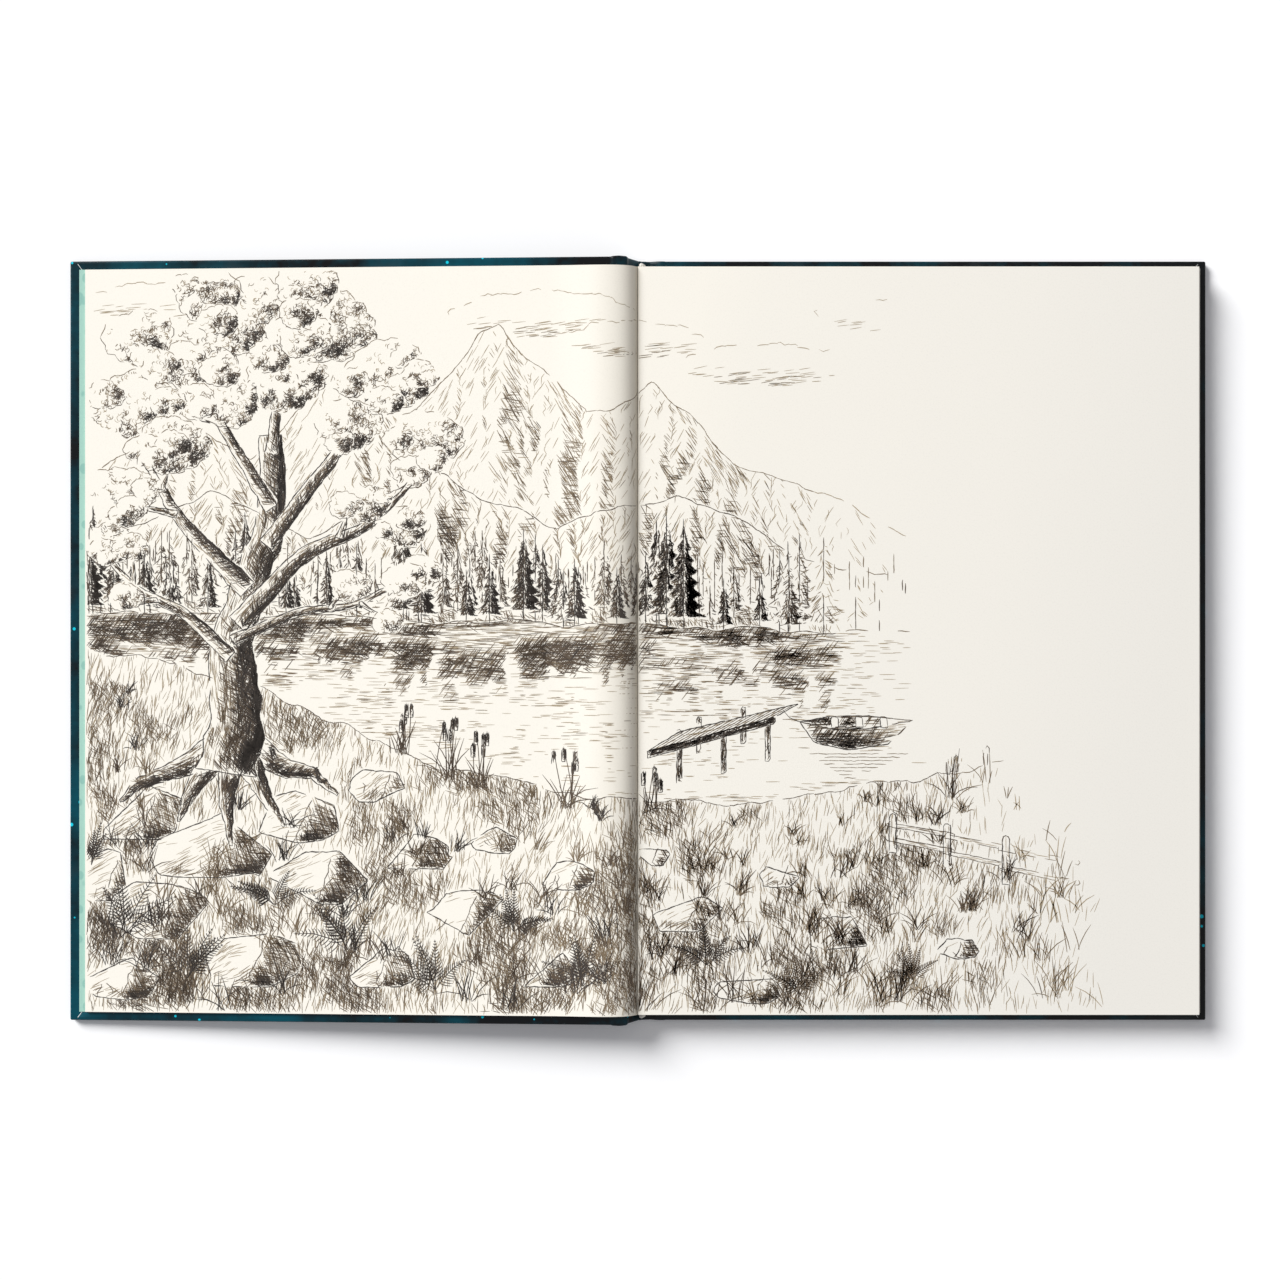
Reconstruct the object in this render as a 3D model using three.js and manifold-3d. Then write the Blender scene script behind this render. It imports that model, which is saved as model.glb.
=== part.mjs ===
// A hardback picture book lying open near its front, in millimetres.
// X runs across the spread, Y up the pages to the head and Z up. The right half lies flat, the
// left half slopes down from the joint to its fore-edge, and the origin is under the middle.
import * as THREE from "three";
import { mergeVertices } from "three/addons/utils/BufferGeometryUtils.js";
import Module from "manifold-3d";

const wasm = await Module();
wasm.setup();

// Leaves
const PAGE_WIDTH = 228.6; // gutter to fore-edge
const PAGE_HEIGHT = 304.8; // tail to head
const RIGHT_STACK = 8.1; // leaves lying on the back cover
const LEFT_STACK = 0.9; // leaves turned over onto the front cover
const BLOCK_SLANT = 2.4; // how far the right stack leans out at its foot

// Case
const HEAD_SQUARE = 3.6; // cover past the leaves at head and tail
const FORE_SQUARE = 5; // cover past the leaves at the fore-edge
const BOARD_INSET = 9.6; // gutter to the spine edge of each cover
const BOARD = 2.4; // greyboard of the two covers
const SPINE_BOARD = 1.8; // greyboard of the spine
const COVER_PAPER = 0.3; // laminated paper round the boards
const TURN_IN = 15; // cover paper folded onto the inside
const ENDPAPER = 0.2;
const PASTEDOWN_MARGIN = 4; // cover paper left showing at the fore-edge
const GLUE = 0.2; // clearance between glued layers
const EDGE_ROUND = 0.6; // rounding of the covered edges
const CORNER_ROUND = 1.5; // rounding of the covers' corners, in plan
const SPINE_MARGIN = 1.6; // closed book's faces past the spine board
const JOINT_DEPTH = 1; // joint strips' middle below the inner faces that they join
const JOINT_SAG = 0.8; // pull of the strips' slack

// How it lies
const GUTTER_RISE = 5; // left page above the right one, beside the gutter
const SPINE_LEAN = 30; // degrees that the spine leans over from upright
const SPINE_PIVOT_Z = 6.9;
const HOLLOW = 0.9; // closed spine's inner face to the gutter
const FORE_CLEARANCE = 0.02; // left fore-edge above the surface the book lies on
const CURL_CLIMB = 3.6; // reach of the left leaves' steep climb from the gutter
const CURL_BELLY = 1.4; // pull of the belly above the flat page
const CURL_BELLY_AT = 12;
const CURL_END = 30; // where the left leaves lie flat

// Back of the block
const LINING = 0.4;
const LINING_MARGIN = 14; // lining short of the leaves at head and tail
const BAND_RADIUS = 0.9;
const BAND_TAB = 7; // band glued down the back of the block
const BAND_CLOTH = 0.4;
const BAND_END = 1.2; // band short of the first and last leaf
const SEWN_BACK = 2.4; // depth of back taken by the leaves that curl to the left

const coverThickness = BOARD + 2 * (COVER_PAPER + GLUE);
const spineThickness = SPINE_BOARD + 2 * (COVER_PAPER + GLUE);
const pastedownTop = coverThickness + GLUE + ENDPAPER;
const leafBase = pastedownTop + GLUE;
const rightTop = leafBase + RIGHT_STACK;
const leftTop = leafBase + LEFT_STACK;
const closedThickness = rightTop + leftTop;
const foreEdge = PAGE_WIDTH + FORE_SQUARE;
const caseHalf = PAGE_HEIGHT / 2 + HEAD_SQUARE;
const pageHalf = PAGE_HEIGHT / 2;
const halfRise = GUTTER_RISE / 2;

const paperPrint = new THREE.MeshStandardMaterial({ color: 0xf4efe3, roughness: 0.85 });
const paperMint = new THREE.MeshStandardMaterial({ color: 0xb4e4d8, roughness: 0.8 });
const coverPrint = new THREE.MeshStandardMaterial({ color: 0x0b2c33, roughness: 0.3 });
const greyboard = new THREE.MeshStandardMaterial({ color: 0x9a958c, roughness: 0.9 });
const cottonWhite = new THREE.MeshStandardMaterial({ color: 0xefede6, roughness: 0.9 });

// Geometry to solid and back
function solidOf(geometry) {
  const bare = geometry.index ? geometry.toNonIndexed() : geometry.clone();
  bare.deleteAttribute("normal");
  bare.deleteAttribute("uv");
  const merged = mergeVertices(bare, 1e-4);
  const vertProperties = merged.attributes.position.array;
  const triVerts = new Uint32Array(merged.index.array);
  return new wasm.Manifold(new wasm.Mesh({ numProp: 3, vertProperties, triVerts }));
}

function geometryOf(solid) {
  const mesh = solid.getMesh();
  const geometry = new THREE.BufferGeometry();
  geometry.setAttribute("position", new THREE.BufferAttribute(mesh.vertProperties, 3));
  geometry.setIndex(new THREE.BufferAttribute(mesh.triVerts, 1));
  geometry.computeVertexNormals();
  return geometry;
}

// A box between two x, symmetric about y = 0, between two z
function slab(x0, x1, halfY, z0, z1) {
  const box = new THREE.BoxGeometry(x1 - x0, 2 * halfY, z1 - z0);
  return box.translate((x0 + x1) / 2, 0, (z0 + z1) / 2);
}

// An outline in X and Z, carried along Y between two places
function prism(outline, y0, y1) {
  const shape = new THREE.Shape(outline);
  const geometry = new THREE.ExtrudeGeometry(shape, { depth: y1 - y0, bevelEnabled: false });
  return geometry.rotateX(Math.PI / 2).translate(0, y1, 0);
}

// A flat panel with every edge rounded, lying on z = 0
function roundedPanel(x0, x1, halfY, thickness) {
  const left = x0 + EDGE_ROUND;
  const right = x1 - EDGE_ROUND;
  const top = halfY - EDGE_ROUND;
  const corner = CORNER_ROUND - EDGE_ROUND;
  const plan = new THREE.Shape();
  plan.absarc(right - corner, top - corner, corner, 0, Math.PI / 2);
  plan.absarc(left + corner, top - corner, corner, Math.PI / 2, Math.PI);
  plan.absarc(left + corner, corner - top, corner, Math.PI, 1.5 * Math.PI);
  plan.absarc(right - corner, corner - top, corner, 1.5 * Math.PI, 2 * Math.PI);
  const rounding = {
    depth: thickness - 2 * EDGE_ROUND,
    bevelThickness: EDGE_ROUND,
    bevelSize: EDGE_ROUND,
    bevelSegments: 3,
    curveSegments: 3,
  };
  return new THREE.ExtrudeGeometry(plan, rounding).translate(0, 0, EDGE_ROUND);
}

// Panels and leaves are built for the right-hand side, outer face down on z = 0, with x
// counted from the gutter. The left half holds the same ones in a group turned over in x.

// Cover paper drawn round a board and turned in on the inside
function wrapGeometry(x0, x1, thickness, sideTurnIn) {
  const paperTop = thickness - COVER_PAPER;
  const cavity = slab(x0 + COVER_PAPER, x1 - COVER_PAPER, caseHalf - COVER_PAPER, COVER_PAPER, paperTop);
  const windowEnd = x1 - Math.max(sideTurnIn, COVER_PAPER);
  const opening = slab(x0 + COVER_PAPER, windowEnd, caseHalf - TURN_IN, COVER_PAPER, thickness + 1);
  const skin = solidOf(roundedPanel(x0, x1, caseHalf, thickness));
  return geometryOf(skin.subtract(solidOf(cavity)).subtract(solidOf(opening)));
}

function boardGeometry(x0, x1, thickness) {
  const rim = COVER_PAPER + GLUE;
  return slab(x0 + rim, x1 - rim, caseHalf - rim, rim, thickness - rim);
}

// Endpaper pasted over the turn-ins, sinking onto the board between them
function pastedownGeometry() {
  const x0 = BOARD_INSET + COVER_PAPER + GLUE;
  const x1 = foreEdge - PASTEDOWN_MARGIN;
  const sunkEnd = foreEdge - TURN_IN - GLUE;
  const sunkHalf = caseHalf - TURN_IN - GLUE;
  const sunkTop = coverThickness - COVER_PAPER + ENDPAPER;
  const sheet = solidOf(slab(x0, x1, pageHalf, pastedownTop - ENDPAPER, pastedownTop));
  const sunk = solidOf(slab(x0, sunkEnd, sunkHalf, sunkTop - ENDPAPER, pastedownTop));
  const dip = slab(x0 - 1, sunkEnd - ENDPAPER, sunkHalf - ENDPAPER, sunkTop, pastedownTop + 1);
  return geometryOf(sheet.add(sunk).subtract(solidOf(dip)));
}

// Back of the right stack, which leans from the gutter out to its foot
function blockBackX(z) {
  return (BLOCK_SLANT * (rightTop - z)) / RIGHT_STACK;
}

function rightLeavesGeometry() {
  const outline = [
    new THREE.Vector2(blockBackX(leafBase), leafBase),
    new THREE.Vector2(PAGE_WIDTH + BLOCK_SLANT, leafBase),
    new THREE.Vector2(PAGE_WIDTH, rightTop),
    new THREE.Vector2(0, rightTop),
  ];
  return prism(outline, -pageHalf, pageHalf);
}

// Left stack over its cover. It climbs out of the gutter, bellies a little above the flat and
// settles onto the endpaper; the leaves are short of the fore-edge by what the curl takes up.
function leftLeavesGeometry() {
  const start = new THREE.Vector2(GLUE, leftTop - GUTTER_RISE);
  const climb = new THREE.Vector2(CURL_CLIMB, leftTop + CURL_BELLY);
  const belly = new THREE.Vector2(CURL_BELLY_AT, leftTop + CURL_BELLY);
  const settled = new THREE.Vector2(CURL_END, leftTop);
  const curl = new THREE.CubicBezierCurve(start, climb, belly, settled);
  const steps = 16;
  const top = curl.getPoints(steps);
  const bottom = [];
  for (let i = 0; i <= steps; i += 1) {
    const along = curl.getTangent(i / steps);
    bottom.push(new THREE.Vector2(top[i].x, top[i].y - LEFT_STACK / along.x));
  }
  const far = PAGE_WIDTH + settled.x - start.x - curl.getLength();
  const foreTop = new THREE.Vector2(far, leftTop);
  const foreBottom = new THREE.Vector2(far, leafBase);
  const outline = [...top, foreTop, foreBottom, ...bottom.reverse()];
  return prism(outline, -pageHalf, pageHalf);
}

// A slack strip of two layers of cover paper between two points of the section
function stripGeometry(from, to) {
  const middle = from.clone().add(to).multiplyScalar(0.5);
  middle.y -= JOINT_SAG;
  const line = new THREE.QuadraticBezierCurve(from, middle, to);
  const steps = 6;
  const upper = [];
  const lower = [];
  for (let i = 0; i <= steps; i += 1) {
    const point = line.getPoint(i / steps);
    const along = line.getTangent(i / steps);
    const across = new THREE.Vector2(-along.y, along.x).multiplyScalar(COVER_PAPER);
    upper.push(point.clone().add(across));
    lower.push(point.clone().sub(across));
  }
  return prism([...upper, ...lower.reverse()], EDGE_ROUND - caseHalf, caseHalf - EDGE_ROUND);
}

// Sewn band over one end of the block's back: a bead on a tab of cloth
function bandGeometry(end) {
  const low = leafBase + BAND_END;
  const high = rightTop - SEWN_BACK - BAND_END;
  const beadY = end * (pageHalf + GLUE + BAND_RADIUS);
  const bead = new THREE.CylinderGeometry(BAND_RADIUS, BAND_RADIUS, high - low, 12);
  bead.rotateX(Math.PI / 2).translate(0, beadY, (low + high) / 2);
  const tab = new THREE.BoxGeometry(BAND_CLOTH, BAND_TAB, high - low);
  const tabY = beadY - (end * BAND_TAB) / 2;
  tab.translate(-BAND_RADIUS, tabY, (low + high) / 2);
  const band = geometryOf(solidOf(bead).add(solidOf(tab)));
  const lean = new THREE.Matrix4().makeShear(0, 0, 0, 0, -BLOCK_SLANT / RIGHT_STACK, 0);
  const seat = blockBackX(0) - GLUE - BAND_CLOTH / 2 + BAND_RADIUS;
  return band.applyMatrix4(lean).translate(seat, 0, 0);
}

function liningGeometry() {
  const high = rightTop - SEWN_BACK;
  const inner = GLUE;
  const outer = GLUE + LINING;
  const outline = [
    new THREE.Vector2(blockBackX(leafBase) - outer, leafBase),
    new THREE.Vector2(blockBackX(leafBase) - inner, leafBase),
    new THREE.Vector2(blockBackX(high) - inner, high),
    new THREE.Vector2(blockBackX(high) - outer, high),
  ];
  return prism(outline, LINING_MARGIN - pageHalf, pageHalf - LINING_MARGIN);
}

function named(name, geometry, material) {
  const mesh = new THREE.Mesh(geometry, material);
  mesh.name = name;
  return mesh;
}

// Right half, lying flat
const rightHalf = new THREE.Group();
rightHalf.add(
  named("back_cover_wrap", wrapGeometry(BOARD_INSET, foreEdge, coverThickness, TURN_IN), coverPrint),
  named("back_board", boardGeometry(BOARD_INSET, foreEdge, coverThickness), greyboard),
  named("back_pastedown", pastedownGeometry(), paperMint),
  named("right_leaves", rightLeavesGeometry(), paperPrint),
  named("spine_lining", liningGeometry(), cottonWhite),
  named("headband", bandGeometry(1), cottonWhite),
  named("tailband", bandGeometry(-1), cottonWhite),
);

// Left half, turned about a line over the gutter until its fore-edge reaches the surface
const hingeZ = rightTop + halfRise;
const outerDrop = leftTop - halfRise;
const edgeX = foreEdge - EDGE_ROUND;
const edgeZ = EDGE_ROUND - outerDrop;
const edgeHeight = EDGE_ROUND + FORE_CLEARANCE;
const edgeReach = Math.hypot(edgeX, edgeZ);
const slope = Math.asin((hingeZ - edgeHeight) / edgeReach) + Math.atan2(edgeZ, edgeX);
const leftHalf = new THREE.Group();
leftHalf.position.z = hingeZ;
leftHalf.rotation.y = -slope;
const leftPanels = new THREE.Group();
leftPanels.position.z = -outerDrop;
leftPanels.scale.x = -1;
leftPanels.add(
  named("front_cover_wrap", wrapGeometry(BOARD_INSET, foreEdge, coverThickness, TURN_IN), coverPrint),
  named("front_board", boardGeometry(BOARD_INSET, foreEdge, coverThickness), greyboard),
  named("front_pastedown", pastedownGeometry(), paperMint),
  named("left_leaves", leftLeavesGeometry(), paperPrint),
);
leftHalf.add(leftPanels);

// Spine panel, built inner face up across x and stood up on its pivot behind the block
const spineWidth = closedThickness - 2 * SPINE_MARGIN;
const belowPivot = SPINE_PIVOT_Z - SPINE_MARGIN;
const lean = THREE.MathUtils.degToRad(SPINE_LEAN);
const spine = new THREE.Group();
spine.position.set(-HOLLOW, 0, SPINE_PIVOT_Z);
spine.rotation.y = Math.PI / 2 - lean;
const spinePanel = new THREE.Group();
spinePanel.position.set(belowPivot - spineWidth, 0, -spineThickness);
spinePanel.add(
  named("spine_wrap", wrapGeometry(0, spineWidth, spineThickness, 0), coverPrint),
  named("spine_board", boardGeometry(0, spineWidth, spineThickness), greyboard),
);
spine.add(spinePanel);

// Joint strips, from the covers' inner spine corners to the spine's
function sectionPoint(group, x, z) {
  const place = new THREE.Vector3(x, 0, z);
  group.updateMatrixWorld(true);
  place.applyMatrix4(group.matrixWorld);
  return new THREE.Vector2(place.x, place.z);
}

const joints = new THREE.Group();
const stripAtCover = coverThickness - JOINT_DEPTH;
const stripGap = GLUE + COVER_PAPER;
const stripInset = BOARD_INSET - stripGap;
const frontFrom = sectionPoint(leftHalf, -stripInset, stripAtCover - outerDrop);
const frontTo = sectionPoint(spine, belowPivot - spineWidth - stripGap, -JOINT_DEPTH);
const backFrom = new THREE.Vector2(stripInset, stripAtCover);
const backTo = sectionPoint(spine, belowPivot + stripGap, -JOINT_DEPTH);
joints.add(
  named("front_joint", stripGeometry(frontFrom, frontTo), coverPrint),
  named("back_joint", stripGeometry(backTo, backFrom), coverPrint),
);

// The whole book, moved so that the origin is under the middle of its extent
const book = new THREE.Group();
book.add(rightHalf, leftHalf, spine, joints);
const extent = new THREE.Box3().setFromObject(book, true);
book.position.x = -(extent.min.x + extent.max.x) / 2;

export default book;
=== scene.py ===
"""Open picture book: hinged case, sewn leaves, a pencil landscape on the pages, and its stage."""

from math import asin, atan2, cos, hypot, pi, radians, sin, sqrt

import bmesh
import bpy
import numpy as np
from bpy.props import FloatProperty, FloatVectorProperty, IntProperty, PointerProperty
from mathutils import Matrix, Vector


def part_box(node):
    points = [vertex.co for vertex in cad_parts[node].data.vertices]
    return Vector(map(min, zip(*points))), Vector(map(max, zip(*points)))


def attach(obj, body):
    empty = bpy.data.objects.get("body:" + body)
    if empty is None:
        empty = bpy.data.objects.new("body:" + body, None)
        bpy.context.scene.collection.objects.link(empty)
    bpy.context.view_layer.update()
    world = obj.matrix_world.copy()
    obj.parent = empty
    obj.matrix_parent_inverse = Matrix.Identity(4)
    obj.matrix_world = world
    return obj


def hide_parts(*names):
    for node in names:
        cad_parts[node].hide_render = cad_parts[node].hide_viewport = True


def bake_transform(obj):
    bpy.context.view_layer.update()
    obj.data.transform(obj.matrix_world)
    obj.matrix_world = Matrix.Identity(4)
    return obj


bl_info = {
    "name": "Open Picture Book",
    "version": (1, 0, 0),
    "blender": (4, 5, 0),
    "location": "View3D > Sidebar > Book",
    "description": "Builds the detailed pieces of an open hardback picture book over its solids",
    "category": "Object",
}

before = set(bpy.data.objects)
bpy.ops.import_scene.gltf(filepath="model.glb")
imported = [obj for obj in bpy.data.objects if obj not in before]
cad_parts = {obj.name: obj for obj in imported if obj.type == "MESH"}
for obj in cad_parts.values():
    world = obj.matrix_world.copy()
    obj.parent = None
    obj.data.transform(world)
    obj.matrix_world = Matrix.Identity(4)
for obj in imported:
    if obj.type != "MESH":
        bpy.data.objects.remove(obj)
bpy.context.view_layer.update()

MM = 0.001
RIGHT_LOW, RIGHT_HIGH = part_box("right_leaves")
CASE_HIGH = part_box("back_cover_wrap")[1]
GUTTER_X = RIGHT_LOW.x
PAGE_TOP = RIGHT_HIGH.z - 0.06 * MM  # air between the two drawings when the book is shut
ENDS = ((1, "head"), (-1, "tail"))
EDGE_SEAT = 0.6 * MM  # radius on which the left fore-edge rests
EDGE_AIR = 0.02 * MM
SPINE_LEAN = radians(60)


def linear(red, green, blue):
    """A colour as it looks on screen, 0 to 255, in the values that shaders use."""
    shares = [channel / 255 for channel in (red, green, blue)]
    return [s / 12.92 if s <= 0.04045 else ((s + 0.055) / 1.055) ** 2.4 for s in shares]


def length(name, description, millimetres):
    return FloatProperty(
        name=name, description=description, default=millimetres * MM, unit="LENGTH", precision=5
    )


def colour(name, description, *channels):
    return FloatVectorProperty(
        name=name, description=description, default=linear(*channels), subtype="COLOR", size=3,
        min=0, max=1,
    )


class CaseSizes(bpy.types.PropertyGroup):
    board_inset: length("Board inset", "From the gutter to the boards", 9.6)
    turn_in: length("Turn-in", "Width of the cover paper folded over the boards", 15.0)
    cover_paper: length("Cover paper", "Thickness of the cover paper", 0.3)
    edge_round: length("Edge round", "Radius of the covered board edges", 0.7)
    corner_round: length("Corner round", "Radius of the covered board corners", 0.7)
    spine_panel: length("Spine panel", "Thickness of the covered spine board", 2.8)
    spine_above: length("Spine above pivot", "Spine past its pivot, to the left cover", 8.5)
    spine_below: length("Spine below pivot", "Spine past its pivot, to the right cover", 5.3)
    spine_pivot: length("Spine pivot height", "Spine's pivot over the surface", 6.9)
    hollow: length("Hollow", "From the gutter back to the spine panel", 0.9)
    joint_depth: length("Joint depth", "Depth of the joint strips in the cover", 1.0)
    joint_sag: length("Joint sag", "Sag of a joint strip between its ends", 0.8)


class LeafSizes(bpy.types.PropertyGroup):
    page_width: length("Page width", "From the gutter to the fore-edge", 228.6)
    right_sheets: IntProperty(
        name="Right sheets", description="Sheets in the right stack", default=42, min=4
    )
    left_sheets: IntProperty(
        name="Left sheets", description="Sheets in the left stack", default=4, min=2
    )
    left_stack: length("Left stack", "Thickness of the left stack", 0.9)
    left_page: length("Left page height", "Left page over its cover's outer face", 4.9)
    gutter_rise: length("Gutter rise", "How far the left page climbs out of the gutter", 5.0)
    climb: length("Climb", "First handle of the climbing curve", 3.6)
    belly: length("Belly", "How far the curve swells over the page", 1.4)
    belly_at: length("Belly at", "Second handle of the climbing curve", 12.0)
    settled_at: length("Settled at", "Where the left page lies flat", 30.0)
    band_radius: length("Band radius", "Radius of the sewn bands", 0.9)


class BookColours(bpy.types.PropertyGroup):
    page: colour("Page", "Uncoated cream page", 250, 245, 233)
    flyleaf: colour("Endpaper", "Mint endpaper", 161, 203, 189)
    leaf_print: colour("Endpaper print", "Pale pattern on the endpaper", 127, 178, 167)
    night: colour("Cover dark", "Darkest part of the cover's print", 6, 8, 11)
    teal: colour("Cover teal", "Clouds in the cover's print", 0, 72, 86)
    # Partly the print's grey, partly a painted reflection of the glossy laminate.
    haze: colour("Cover haze", "Greyest part of the cover's print", 44, 54, 58)
    spatter: colour("Cover spatter", "Fine drops in the cover's print", 20, 200, 222)
    board: colour("Greyboard", "Board under the cover paper", 148, 141, 130)
    cotton: colour("Cotton", "Lining and sewn bands", 240, 237, 229)


# Surface maths


class Wire:
    """A socket's value, with Python's operators adding Math nodes to its shader."""

    def __init__(self, shader, socket):
        self.shader = shader
        self.socket = socket

    def __add__(self, other): return self.shader.math("ADD", self, other)
    def __sub__(self, other): return self.shader.math("SUBTRACT", self, other)
    def __rsub__(self, other): return self.shader.math("SUBTRACT", other, self)
    def __mul__(self, other): return self.shader.math("MULTIPLY", self, other)

    __radd__ = __add__
    __rmul__ = __mul__


class Shader:
    """The nodes of a material or of the world."""

    def __init__(self, tree):
        self.tree = tree

    def node(self, kind, settings, inputs, output=0):
        made = self.tree.nodes.new(kind)
        for name, value in settings.items():
            if name == "stops":
                ramp = made.color_ramp.elements
                while len(ramp) < len(value):
                    ramp.new(0.5)
                for stop, (place, shade) in zip(ramp, value):
                    stop.position = place
                    stop.color = (shade, shade, shade, 1)
            else:
                setattr(made, name, value)
        for name, value in inputs.items():
            self.feed(made.inputs[name], value)
        return Wire(self, made.outputs[output])

    def feed(self, socket, value):
        if isinstance(value, Wire):
            self.tree.links.new(value.socket, socket)
        elif isinstance(value, (int, float)):
            socket.default_value = value
        else:
            alpha = (1,) * (len(socket.default_value) - len(value))
            socket.default_value = (*value, *alpha)

    def math(self, operation, first, second):
        return self.node("ShaderNodeMath", {"operation": operation}, {0: first, 1: second})

    def mix(self, factor, first, second, blend="MIX"):
        settings = {"data_type": "RGBA", "clamp_factor": True, "blend_type": blend}
        return self.node("ShaderNodeMix", settings, {0: factor, 6: first, 7: second}, 2)

    def place(self):
        return self.node("ShaderNodeTexCoord", {}, {}, 3)

    def coordinate(self, axis):
        return self.node("ShaderNodeSeparateXYZ", {}, {0: self.place()}, axis)

    def stretched(self, scale):
        return self.node("ShaderNodeMapping", {}, {"Vector": self.place(), "Scale": scale})

    def noise(self, scale, detail=2.0, roughness=0.5, where=None):
        inputs = {"Scale": scale, "Detail": detail, "Roughness": roughness}
        return self.node("ShaderNodeTexNoise", {}, {"Vector": where or self.place(), **inputs})

    def cells(self, scale, where):
        inputs = {"Vector": where, "Scale": scale}
        return self.node("ShaderNodeTexVoronoi", {"feature": "F1"}, inputs)

    def threads(self, direction, scale, distortion=0.0):
        inputs = {"Vector": self.place(), "Scale": scale, "Distortion": distortion}
        return self.node("ShaderNodeTexWave", {"bands_direction": direction}, inputs, 1)

    def ramp(self, value, *stops):
        return self.node("ShaderNodeValToRGB", {"stops": stops}, {"Fac": value})

    def ray(self, kind):
        return self.node("ShaderNodeLightPath", {}, {}, kind)

    def mix_shaders(self, factor, first, second):
        return self.node("ShaderNodeMixShader", {}, {0: factor, 1: first, 2: second})

    def show(self, output, wire):
        self.feed(self.tree.nodes[output].inputs["Surface"], wire)


class Finish(Shader):
    """A material, built from its principled shader outwards."""

    def __init__(self, name, colour, **fixed):
        self.material = bpy.data.materials.new(name)
        self.material.use_nodes = True
        self.material.diffuse_color = (*colour, 1)
        super().__init__(self.material.node_tree)
        self.surface = self.tree.nodes["Principled BSDF"]
        self.surface.inputs["Base Color"].default_value = (*colour, 1)
        for socket, value in fixed.items():
            label = socket.replace("_", " ").title().replace("Ior", "IOR")
            self.surface.inputs[label].default_value = value

    def paint(self, wire):
        self.feed(self.surface.inputs["Base Color"], wire)

    def relief(self, height, depth, strength):
        inputs = {"Height": height, "Distance": depth, "Strength": strength}
        self.feed(self.surface.inputs["Normal"], self.node("ShaderNodeBump", {}, inputs))
        return self


def finish(recipe):
    """The material that a recipe makes, named after it and made once."""
    colours = bpy.context.scene.book_colours
    name = recipe.__name__
    return bpy.data.materials.get(name) or recipe(name, colours).material


def toned(colour, *shares):
    """A colour made darker or lighter, as a whole or channel by channel."""
    return [min(value * share, 1) for value, share in zip(colour, shares * 3)]


def uncoated_page(name, c):
    f = Finish(name, c.page, roughness=0.86)
    fibre = f.noise(1500, 3, 0.65)
    shade = f.mix(f.noise(22, 3), toned(c.page, 0.985), toned(c.page, 1.01))
    leftward = GUTTER_X - f.coordinate(0)
    # Painted shade: the paper darkens and warms towards the gutter. It is strongest on the gutter
    # line and fades out about 20 mm into the left page and 2.4 mm into the right.
    fold = f.ramp(
        leftward * 25 + 0.5,
        (0.44, 0.0), (0.485, 0.2), (0.5, 1.0), (0.53, 0.5), (0.68, 0.22), (1.0, 0.0),
    )
    shade = f.mix(fold, shade, toned(c.page, 0.76, 0.71, 0.62))
    # Painted light falloff: mostly on the right page, the paper darkens towards the fore-edge and
    # the tail, away from the lamp at the upper left.
    outward = leftward * -4.4 - f.coordinate(1) * 0.8
    light_falloff = f.ramp(outward, (0.0, 0.0), (0.12, 0.28), (0.6, 0.6), (0.95, 1.0))
    shade = f.mix(light_falloff, shade, toned(c.page, 0.87, 0.88, 0.905))
    fleck = f.ramp(fibre, (0.28, 0.955), (0.5, 1.0))
    f.paint(f.mix(1.0, shade, fleck, "MULTIPLY"))
    return f.relief(fibre, 0.00005, 0.35)


def cut_paper(name, c):
    f = Finish(name, toned(c.page, 0.97), roughness=0.9)
    grain = f.noise(260, 3, 0.6, f.stretched((1, 1, 6)))
    f.paint(f.mix(f.ramp(grain, (0.3, 0.0), (0.7, 1.0)), toned(c.page, 0.86), c.page))
    return f.relief(grain, 0.00006, 0.4)


def mint_endpaper(name, c):
    f = Finish(name, c.flyleaf, roughness=0.8)
    sprigs = f.cells(150, f.stretched((1.4, 1, 1))) + f.noise(60) * 0.35
    shade = f.mix(f.noise(30, 3), toned(c.flyleaf, 0.95), toned(c.flyleaf, 1.05))
    f.paint(f.mix(f.ramp(sprigs, (0.42, 1.0), (0.5, 0.0)) * 0.7, shade, c.leaf_print))
    return f.relief(f.noise(1400, 3), 0.00005, 0.3)


def laminated_print(name, c):
    gloss = {"specular_ior_level": 0.1, "coat_weight": 0.03, "coat_roughness": 0.2}
    f = Finish(name, c.teal, roughness=0.3, **gloss)
    leftward = GUTTER_X - f.coordinate(0)
    # Painted sheen, partly print: the teal clouds reach further towards the left and the dark
    # further towards the right, so the cover is lighter on the side towards the lamp.
    cloud = f.noise(17, 5, 0.6) + f.noise(75, 4, 0.6) * 0.3 + leftward * 0.28
    base = f.mix(f.ramp(cloud, (0.6, 0.0), (0.86, 1.0)), c.night, c.teal)
    # The print's grey haze is laid on strongly to stand in for the laminate's lowered gloss. It is
    # partly print and partly painted reflection.
    haze = f.ramp(f.noise(26, 4, 0.65), (0.56, 0.0), (0.8, 1.0))
    base = f.mix(haze * 0.8, base, c.haze)
    drops = f.cells(130, f.place()) + (1 - f.noise(34)) * 0.3
    f.paint(f.mix(f.ramp(drops, (0.235, 1.0), (0.25, 0.0)), base, c.spatter))
    f.feed(f.surface.inputs["Roughness"], 0.24 + f.noise(300, 3, 0.6) * 0.14)
    return f.relief(f.noise(420), 0.00005, 0.18)


def paper_core(name, c):
    f = Finish(name, linear(222, 224, 222), roughness=0.85)
    f.paint(f.mix(f.noise(900), linear(206, 210, 209), linear(236, 236, 232)))
    return f


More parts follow.
